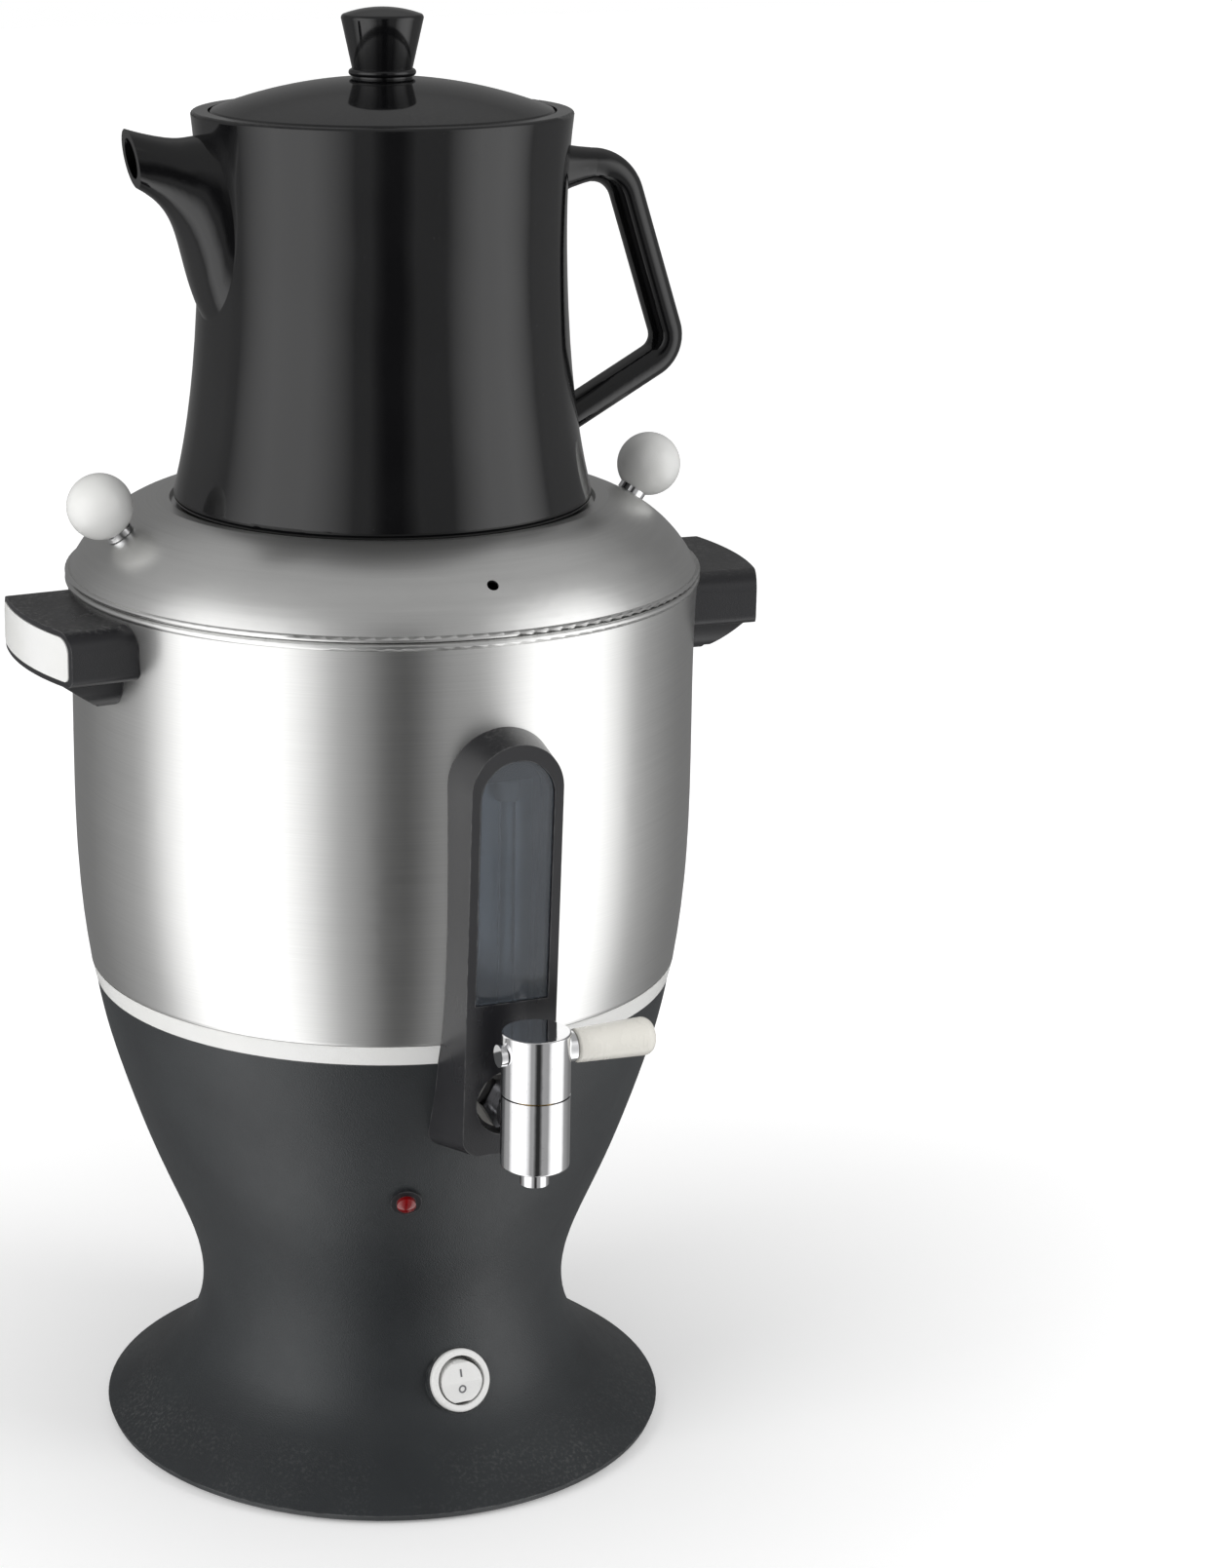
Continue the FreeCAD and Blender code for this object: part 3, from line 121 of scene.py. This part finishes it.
def spread(tree, value, low, high, to_low=0.0, to_high=1.0):
    """Takes a value from one range to another and holds it there."""
    made = place(tree, "MapRange", Value=value)
    fill(tree, made.inputs["From Min"], low)
    fill(tree, made.inputs["From Max"], high)
    fill(tree, made.inputs["To Min"], to_low)
    fill(tree, made.inputs["To Max"], to_high)
    return made.outputs["Result"]


def blended(tree, amount, first, second):
    """A colour between two, by a mask."""
    made = tree.nodes.new("ShaderNodeMix")
    made.data_type = "RGBA"
    fill(tree, made.inputs[0], amount)
    fill(tree, made.inputs[6], first)
    fill(tree, made.inputs[7], second)
    return made.outputs[2]


def noise(tree, at, scale, detail=2.0, roughness=0.5):
    made = place(tree, "TexNoise", Vector=at, Scale=scale, Detail=detail, Roughness=roughness)
    return made.outputs[0]


def new_group(name, inputs, outputs):
    """An empty node group with float inputs and outputs; gives the group and its two end nodes."""
    group = bpy.data.node_groups.new(name, "ShaderNodeTree")
    for label, value in inputs.items():
        socket = group.interface.new_socket(label, in_out="INPUT", socket_type="NodeSocketFloat")
        socket.default_value = value
    for label in outputs:
        group.interface.new_socket(label, in_out="OUTPUT", socket_type="NodeSocketFloat")
    return group, group.nodes.new("NodeGroupInput").outputs, group.nodes.new("NodeGroupOutput").inputs


def use(tree, group, **values):
    """Places a group in a material with its own values."""
    made = tree.nodes.new("ShaderNodeGroup")
    made.node_tree = group
    for name, value in values.items():
        fill(tree, made.inputs[name.replace("_", " ")], value)
    return made.outputs


# ---- effects that more than one finish uses ----

def brushed_lines():
    """Fine lines of a brushed spinning, running round the upright axis."""
    group, given, out = new_group("brushed_lines", {"Lines": 1500.0, "Run": 2.0},
                                  ["Streak", "Broad", "Height"])
    at = place(group, "TexCoord").outputs["Object"]
    part = place(group, "SeparateXYZ", Vector=at).outputs
    square = sum_of(group, "ADD", sum_of(group, "MULTIPLY", part[0], part[0]),
                    sum_of(group, "MULTIPLY", part[1], part[1]))
    radius = sum_of(group, "MAXIMUM", sum_of(group, "SQRT", square), 0.0005)
    east = sum_of(group, "MULTIPLY", sum_of(group, "DIVIDE", part[0], radius), given["Run"])
    north = sum_of(group, "MULTIPLY", sum_of(group, "DIVIDE", part[1], radius), given["Run"])
    across = sum_of(group, "ADD", part[2], radius)
    fine = place(group, "CombineXYZ", X=east, Y=north, Z=sum_of(group, "MULTIPLY", across, given["Lines"]))
    broad = place(group, "CombineXYZ", X=east, Y=north, Z=sum_of(group, "MULTIPLY", across, 120.0))
    streak = noise(group, fine.outputs[0], 1.0, 3.0, 0.65)
    group.links.new(spread(group, streak, 0.3, 0.7), out["Streak"])
    group.links.new(spread(group, noise(group, broad.outputs[0], 1.0), 0.3, 0.7), out["Broad"])
    group.links.new(streak, out["Height"])
    return group


def moulded_grain():
    """The fine spark-eroded grain of a moulding: a slight change of tone, and a height for the bump."""
    group, given, out = new_group("moulded_grain", {"Grain": 2200.0}, ["Tone", "Height"])
    at = place(group, "TexCoord").outputs["Object"]
    cells = place(group, "TexVoronoi", {"feature": "SMOOTH_F1"}, Vector=at, Scale=given["Grain"]).outputs[0]
    cloud = noise(group, at, 35.0, 3.0)
    group.links.new(spread(group, cloud, 0.3, 0.7), out["Tone"])
    mixed = sum_of(group, "ADD", cells, sum_of(group, "MULTIPLY", noise(group, at, given["Grain"]), 0.8))
    group.links.new(mixed, out["Height"])
    return group


def handling_marks():
    """Faint smears of hands and cloths: a soft mask, in patches with thin wiped lines in them."""
    group, given, out = new_group("handling_marks", {"Patch": 24.0}, ["Mask"])
    at = place(group, "TexCoord").outputs["Object"]
    patch = spread(group, noise(group, at, given["Patch"], 4.0, 0.6), 0.45, 0.72)
    flat = place(group, "Mapping", Vector=at)
    flat.inputs["Scale"].default_value = (420.0, 420.0, 45.0)
    flat.inputs["Rotation"].default_value = (0.5, 0.3, 0.2)
    wiped = spread(group, noise(group, flat.outputs[0], 1.0, 2.0), 0.5, 0.75)
    smeared = sum_of(group, "ADD", patch, sum_of(group, "MULTIPLY", wiped, 0.3), clamp=True)
    group.links.new(smeared, out["Mask"])
    return group


def settled_dust():
    """Dust on what faces up: a speckled mask."""
    group, given, out = new_group("settled_dust", {"Reach": 0.75}, ["Mask"])
    at = place(group, "TexCoord").outputs["Object"]
    facing = place(group, "SeparateXYZ", Vector=place(group, "NewGeometry").outputs["Normal"]).outputs[2]
    upward = spread(group, facing, given["Reach"], 1.0)
    motes = spread(group, noise(group, at, 900.0, 2.0), 0.5, 0.7)
    drift = spread(group, noise(group, at, 30.0, 3.0), 0.35, 0.65)
    group.links.new(sum_of(group, "MULTIPLY", upward, sum_of(group, "MULTIPLY", motes, drift)), out["Mask"])
    return group


def rubbed_edge():
    """Where a sharp edge turns: the softened normal leaves the true one there."""
    group, given, out = new_group("rubbed_edge", {"Width": 0.0006}, ["Mask"])
    soft = place(group, "Bevel", {"samples": 4}, Radius=given["Width"]).outputs[0]
    true = place(group, "NewGeometry").outputs["Normal"]
    turn = place(group, "VectorMath", {"operation": "DOT_PRODUCT"})
    group.links.new(soft, turn.inputs[0])
    group.links.new(true, turn.inputs[1])
    at = place(group, "TexCoord").outputs["Object"]
    broken = spread(group, noise(group, at, 260.0, 3.0), 0.35, 0.6)
    edge = spread(group, turn.outputs["Value"], 0.98, 0.80)
    group.links.new(sum_of(group, "MULTIPLY", edge, broken), out["Mask"])
    return group


LINES = brushed_lines()
GRAIN = moulded_grain()
MARKS = handling_marks()
DUST = settled_dust()
EDGE = rubbed_edge()


# ---- finishes ----

def finish(name, **plain):
    """A material with its Principled shader; the plain values go on the shader's own sockets."""
    made = bpy.data.materials.new(name)
    made.use_nodes = True
    tree = made.node_tree
    shader = tree.nodes["Principled BSDF"]
    for label, value in plain.items():
        shader.inputs[label.replace("_", " ")].default_value = value
    return made, tree, shader.inputs


def bump(tree, height, distance):
    return place(tree, "Bump", Height=height, Distance=distance).outputs[0]


def moulded(name, colour, lighter, rough, smoother, grain, depth, dust=0.25, worn=(0.3, 0.3, 0.3, 1)):
    """A moulded plastic: cloudy tone, grain, rubbed edges, smears and a little dust."""
    made, tree, shader = finish(name)
    grained = use(tree, GRAIN, Grain=grain)
    smear = use(tree, MARKS)["Mask"]
    edge = use(tree, EDGE)["Mask"]
    motes = use(tree, DUST)["Mask"]
    tone = blended(tree, grained["Tone"], colour, lighter)
    tone = blended(tree, sum_of(tree, "MULTIPLY", edge, 0.35), tone, worn)
    tone = blended(tree, sum_of(tree, "MULTIPLY", motes, dust), tone, DUST_COLOUR)
    tree.links.new(tone, shader["Base Color"])
    tree.links.new(spread(tree, smear, 0.0, 1.0, rough, smoother), shader["Roughness"])
    tree.links.new(bump(tree, grained["Height"], depth), shader["Normal"])
    return made


def brushed_steel():
    """Stainless steel, brushed round the pot, with hazy smears."""
    made, tree, shader = finish("steel", Metallic=1.0, Anisotropic=0.5, Anisotropic_Rotation=0.25)
    lines = use(tree, LINES, Lines=2600.0, Run=2.2)
    smear = use(tree, MARKS, Patch=16.0)["Mask"]
    tone = blended(tree, lines["Streak"], (0.69, 0.69, 0.68, 1), (0.75, 0.75, 0.74, 1))
    tone = blended(tree, sum_of(tree, "MULTIPLY", lines["Broad"], 0.25), tone, (0.71, 0.71, 0.70, 1))
    rough = spread(tree, lines["Streak"], 0.0, 1.0, 0.29, 0.32)
    rough = sum_of(tree, "ADD", rough, sum_of(tree, "MULTIPLY", smear, 0.02))
    tree.links.new(tone, shader["Base Color"])
    tree.links.new(rough, shader["Roughness"])
    tree.links.new(bump(tree, lines["Height"], 0.0000015), shader["Normal"])
    return made


def plated(name, colour, deeper, rough, rougher):
    """A bright metal: a nearly clean mirror with haze, fine pits and water spots."""
    made, tree, shader = finish(name, Metallic=1.0)
    at = place(tree, "TexCoord").outputs["Object"]
    smear = sum_of(tree, "MULTIPLY", use(tree, MARKS, Patch=70.0)["Mask"], 0.4)
    spots = spread(tree, noise(tree, at, 700.0, 2.0), 0.66, 0.74)
    haze = sum_of(tree, "MAXIMUM", smear, spots)
    tree.links.new(blended(tree, haze, colour, deeper), shader["Base Color"])
    tree.links.new(spread(tree, haze, 0.0, 1.0, rough, rougher), shader["Roughness"])
    tree.links.new(bump(tree, noise(tree, at, 160.0), 0.00004), shader["Normal"])
    return made


def black_glaze():
    """A thick glossy glaze: deep black, a soft waviness, pinholes and the odd lint speck."""
    made, tree, shader = finish("black_glaze", IOR=1.5)
    at = place(tree, "TexCoord").outputs["Object"]
    cloud = spread(tree, noise(tree, at, 22.0, 3.0), 0.3, 0.7)
    pinholes = spread(tree, noise(tree, at, 1400.0, 1.0), 0.74, 0.80)
    smear = use(tree, MARKS, Patch=20.0)["Mask"]
    motes = use(tree, DUST, Reach=0.8)["Mask"]
    tone = blended(tree, cloud, (0.003, 0.003, 0.0035, 1), (0.006, 0.006, 0.0065, 1))
    tone = blended(tree, sum_of(tree, "MULTIPLY", motes, 0.05), tone, (0.3, 0.3, 0.3, 1))
    tree.links.new(tone, shader["Base Color"])
    rough = spread(tree, smear, 0.0, 1.0, 0.06, 0.13)
    tree.links.new(sum_of(tree, "ADD", rough, sum_of(tree, "MULTIPLY", pinholes, 0.2)), shader["Roughness"])
    wave = sum_of(tree, "ADD", noise(tree, at, 26.0, 1.0), sum_of(tree, "MULTIPLY", pinholes, -0.03))
    tree.links.new(bump(tree, wave, 0.0005), shader["Normal"])
    return made


def see_through(name, colour, deeper, rough, **plain):
    """A clear moulding, tinted in the body, with faint haze."""
    made, tree, shader = finish(name, **plain)
    at = place(tree, "TexCoord").outputs["Object"]
    cloud = spread(tree, noise(tree, at, 60.0, 3.0), 0.3, 0.7)
    smear = use(tree, MARKS, Patch=60.0)["Mask"]
    tree.links.new(blended(tree, cloud, colour, deeper), shader["Base Color"])
    tree.links.new(spread(tree, smear, 0.0, 1.0, rough, rough + 0.06), shader["Roughness"])
    tree.links.new(bump(tree, noise(tree, at, 90.0), 0.00004), shader["Normal"])
    return made


FINISHES = {
    "base_plastic": moulded("base_plastic", (0.014, 0.016, 0.018, 1), (0.020, 0.023, 0.025, 1),
                            0.46, 0.38, 2400.0, 0.00006),
    "dark_plastic": moulded("dark_plastic", (0.008, 0.008, 0.010, 1), (0.013, 0.013, 0.015, 1),
                            0.33, 0.26, 3000.0, 0.00003, dust=0.15),
    "white_plastic": moulded("white_plastic", (0.78, 0.78, 0.76, 1), (0.84, 0.84, 0.83, 1),
                             0.26, 0.20, 2600.0, 0.00002, dust=0.1, worn=(0.6, 0.59, 0.56, 1)),
    "ivory_plastic": moulded("ivory_plastic", (0.76, 0.74, 0.67, 1), (0.82, 0.80, 0.74, 1),
                             0.28, 0.20, 2600.0, 0.00002, dust=0.1, worn=(0.55, 0.52, 0.45, 1)),
    "seal": moulded("seal", (0.50, 0.49, 0.46, 1), (0.58, 0.57, 0.54, 1), 0.55, 0.48, 1800.0, 0.00004),
    "foot_rubber": moulded("foot_rubber", (0.018, 0.018, 0.018, 1), (0.028, 0.028, 0.028, 1),
                           0.72, 0.62, 1500.0, 0.00010),
    "steel": brushed_steel(),
    "chrome": plated("chrome", (0.80, 0.80, 0.81, 1), (0.70, 0.70, 0.71, 1), 0.05, 0.13),
    "fastener": plated("fastener", (0.58, 0.58, 0.57, 1), (0.42, 0.42, 0.41, 1), 0.24, 0.38),
    "aluminium": plated("aluminium", (0.66, 0.67, 0.68, 1), (0.52, 0.53, 0.54, 1), 0.34, 0.46),
    "brass": plated("brass", (0.66, 0.46, 0.19, 1), (0.46, 0.30, 0.11, 1), 0.22, 0.36),
    "black_glaze": black_glaze(),
    "smoke": see_through("smoke", (0.28, 0.31, 0.35, 1), (0.24, 0.27, 0.31, 1), 0.06,
                         Transmission_Weight=0.85, IOR=1.49),
    "clear": see_through("clear", (0.92, 0.95, 0.95, 1), (0.86, 0.91, 0.91, 1), 0.04,
                         Transmission_Weight=0.95, IOR=1.47),
    # painted shade: the tap's nut is a metal far darker than any plating, standing for the shade between the
    # tap and the tower
    "painted_shade_nut": plated("painted_shade_nut", (0.20, 0.20, 0.21, 1), (0.10, 0.10, 0.11, 1), 0.22, 0.36),
    "mark_ink": moulded("mark_ink", (0.10, 0.10, 0.11, 1), (0.14, 0.14, 0.15, 1),
                        0.45, 0.38, 3000.0, 0.00002, dust=0.0),
    "red_lens": see_through("red_lens", (0.32, 0.006, 0.008, 1), (0.22, 0.003, 0.005, 1), 0.12,
                            Transmission_Weight=0.35, IOR=1.49, Coat_Weight=0.3),
}


def dress_nodes():
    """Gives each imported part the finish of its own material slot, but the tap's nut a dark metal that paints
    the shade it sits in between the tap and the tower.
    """
    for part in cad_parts.values():
        for slot in part.material_slots:
            slot.material = FINISHES[slot.material.name.split(".")[0]]
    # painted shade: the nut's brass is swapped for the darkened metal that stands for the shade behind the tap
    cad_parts["tap_nut"].material_slots[0].material = FINISHES["painted_shade_nut"]


def shown(made, name, material):
    """Turns a bmesh into an object of the scene."""
    mesh = bpy.data.meshes.new(name)
    made.to_mesh(mesh)
    made.free()
    mesh.materials.append(material)
    piece = bpy.data.objects.new(name, mesh)
    bpy.context.scene.collection.objects.link(piece)
    return piece


# ---- the marks on the switch ----

def mark_bar(made):
    """The upright stroke of the ON mark."""
    corners = [(-BAR_HALF_WIDTH, -BAR_HALF_HEIGHT), (BAR_HALF_WIDTH, -BAR_HALF_HEIGHT),
               (BAR_HALF_WIDTH, BAR_HALF_HEIGHT), (-BAR_HALF_WIDTH, BAR_HALF_HEIGHT)]
    face = made.faces.new([made.verts.new((x, 0.0, z)) for x, z in corners])
    made.normal_update()
    bmesh.ops.subdivide_edges(made, edges=face.edges[:], cuts=3, use_grid_fill=True)


def mark_ring(made):
    """The ring of the OFF mark, a thin band."""
    turn = Matrix.Rotation(math.radians(90), 4, "X")
    for radius in RING_RADII:
        bmesh.ops.create_circle(made, segments=40, radius=radius, matrix=turn)
    bmesh.ops.bridge_loops(made, edges=made.edges[:])


def switch_mark(name, outline, drop):
    """A printed mark that lies on the rocker's face, drop below the rocker's middle."""
    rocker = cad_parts["switch_rocker"]
    low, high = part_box("switch_rocker")
    middle = (low + high) / 2
    tilt = Matrix.Rotation(SWITCH_BEARING, 4, "Z") @ Matrix.Rotation(-SWITCH_TILT, 4, "X")
    start = Matrix.Translation(middle) @ tilt @ Matrix.Translation((0, -20 * MM, -drop))
    inward = (tilt @ Vector((0, 1, 0))).normalized()
    made = bmesh.new()
    outline(made)
    bmesh.ops.transform(made, matrix=start, verts=made.verts[:])
    surface = BVHTree.FromPolygons([v.co for v in rocker.data.vertices],
                                   [p.vertices[:] for p in rocker.data.polygons])
    for corner in made.verts:
        hit = surface.ray_cast(corner.co, inward)[0]
        if hit:
            corner.co = hit - inward * MARK_PROUD
    bmesh.ops.recalc_face_normals(made, faces=made.faces[:])
    if sum((f.normal for f in made.faces), Vector()).dot(inward) > 0:
        bmesh.ops.reverse_faces(made, faces=made.faces[:])
    bmesh.ops.solidify(made, geom=made.faces[:], thickness=MARK_PROUD * 1.6)
    bmesh.ops.recalc_face_normals(made, faces=made.faces[:])
    piece = shown(made, name, FINISHES["mark_ink"])
    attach(piece, "rocker")


# ---- floor, light and camera ----

def studio_floor():
    """A plain pale floor that keeps the samovar's shadow and fades out to white."""
    material, tree, shader = finish("studio_floor", Roughness=0.7, Specular_IOR_Level=0.2)
    at = place(tree, "TexCoord").outputs["Object"]
    cloud = spread(tree, noise(tree, at, 3.0, 2.0), 0.3, 0.7)
    tree.links.new(blended(tree, cloud, FLOOR_TONE, FLOOR_PALER), shader["Base Color"])
    shader["Emission Color"].default_value = (1, 1, 1, 1)
    away = place(tree, "VectorMath", {"operation": "LENGTH"}, Vector=at).outputs["Value"]
    lift = spread(tree, away, *FLOOR_FADE, FLOOR_LIFT_NEAR, FLOOR_LIFT_FAR)
    tree.links.new(sum_of(tree, "MULTIPLY", seen_rays(tree), lift), shader["Emission Strength"])
    made = bmesh.new()
    bmesh.ops.create_grid(made, x_segments=8, y_segments=8, size=FLOOR_HALF)
    floor = shown(made, "studio_floor", material)
    floor.visible_glossy = False


def studio_tent():
    """A round tent with two tall soft boxes and a dark gap towards the front. Gloss and metal alone see it."""
    material, tree, shader = finish("studio_tent", Roughness=1.0, Specular_IOR_Level=0.0)
    shader["Base Color"].default_value = (0, 0, 0, 1)
    shader["Emission Color"].default_value = (1, 1, 1, 1)
    on_tent = place(tree, "TexCoord").outputs["Object"]
    level = TENT_SIDE_LEVEL
    for bearing, to_level in ((BACK_OPENING, TENT_BACK_LEVEL), (FRONT_GAP, TENT_GAP_LEVEL),
                              (LEFT_BOX, SOFT_BOX_LEVEL), (RIGHT_BOX, SOFT_BOX_LEVEL)):
        level = spread(tree, towards(tree, on_tent, *bearing), 0.0, 1.0, level, to_level)
    height = place(tree, "SeparateXYZ", Vector=on_tent).outputs[2]
    overhead = spread(tree, height, 0.55 * TENT_RADIUS, 0.80 * TENT_RADIUS)
    level = spread(tree, overhead, 0.0, 1.0, level, TENT_OVERHEAD_LEVEL)
    tree.links.new(level, shader["Emission Strength"])
    made = bmesh.new()
    bmesh.ops.create_uvsphere(made, u_segments=64, v_segments=32, radius=TENT_RADIUS)
    bmesh.ops.reverse_faces(made, faces=made.faces[:])
    tent = shown(made, "studio_tent", material)
    tent.visible_camera = False
    tent.visible_diffuse = False
    tent.visible_transmission = False
    tent.visible_shadow = False


def towards(tree, at, bearing, half, soft):
    """1 near a bearing in degrees, counted from the front towards the right, and 0 past its soft edge."""
    turn = math.radians(bearing)
    flattened = place(tree, "VectorMath", {"operation": "MULTIPLY"}, Vector=at)
    flattened.inputs[1].default_value = (1, 1, 0)
    heading = place(tree, "VectorMath", {"operation": "NORMALIZE"}, Vector=flattened.outputs[0])
    along = place(tree, "VectorMath", {"operation": "DOT_PRODUCT"}, Vector=heading.outputs[0])
    along.inputs[1].default_value = (math.sin(turn), -math.cos(turn), 0)
    return spread(tree, along.outputs["Value"], math.cos(math.radians(half + soft)),
                  math.cos(math.radians(half - soft)))


def seen_rays(tree):
    """1 for rays that show the background itself: the camera's, and those in metal and glass."""
    path = place(tree, "LightPath").outputs
    metal_or_glass = sum_of(tree, "MAXIMUM", path["Is Glossy Ray"], path["Is Transmission Ray"])
    return sum_of(tree, "MAXIMUM", path["Is Camera Ray"], metal_or_glass)


def studio_world():
    """White where it is seen, and an even grey where it lights."""
    world = bpy.data.worlds.new("studio")
    world.use_nodes = True
    tree = world.node_tree
    backdrop = tree.nodes["Background"]
    backdrop.inputs["Color"].default_value = (1, 1, 1, 1)
    tree.links.new(spread(tree, seen_rays(tree), 0.0, 1.0, WORLD_LIGHT, 1.0), backdrop.inputs["Strength"])
    bpy.context.scene.world = world


def soft_light(name, where, width, height, power):
    """A large soft panel that faces the samovar."""
    lamp = bpy.data.lights.new(name, "AREA")
    lamp.shape = "RECTANGLE"
    lamp.size = width
    lamp.size_y = height
    lamp.energy = power
    holder = bpy.data.objects.new(name, lamp)
    holder.visible_glossy = False
    holder.location = where
    holder.rotation_euler = (Vector(PANEL_AIM) - Vector(where)).to_track_quat("-Z", "Y").to_euler()
    bpy.context.scene.collection.objects.link(holder)


def studio_camera():
    """The view of the photograph."""
    lens = bpy.data.cameras.new("camera")
    lens.lens = LENS
    lens.sensor_width = SENSOR
    lens.shift_x = SHIFT_ACROSS
    lens.shift_y = SHIFT_UP
    holder = bpy.data.objects.new("camera", lens)
    holder.location = CAMERA_PLACE
    turn = (Vector(CAMERA_TARGET) - Vector(CAMERA_PLACE)).to_track_quat("-Z", "Y")
    holder.rotation_euler = turn.to_euler()
    bpy.context.scene.collection.objects.link(holder)
    bpy.context.scene.camera = holder


dress_nodes()
switch_mark("switch_mark_on", mark_bar, -MARK_DROP)
switch_mark("switch_mark_off", mark_ring, MARK_DROP)
studio_floor()
studio_tent()
studio_world()
soft_light("soft_left", *LEFT_PANEL)
soft_light("soft_right", *RIGHT_PANEL)
studio_camera()
bpy.context.scene.view_settings.view_transform = "Standard"
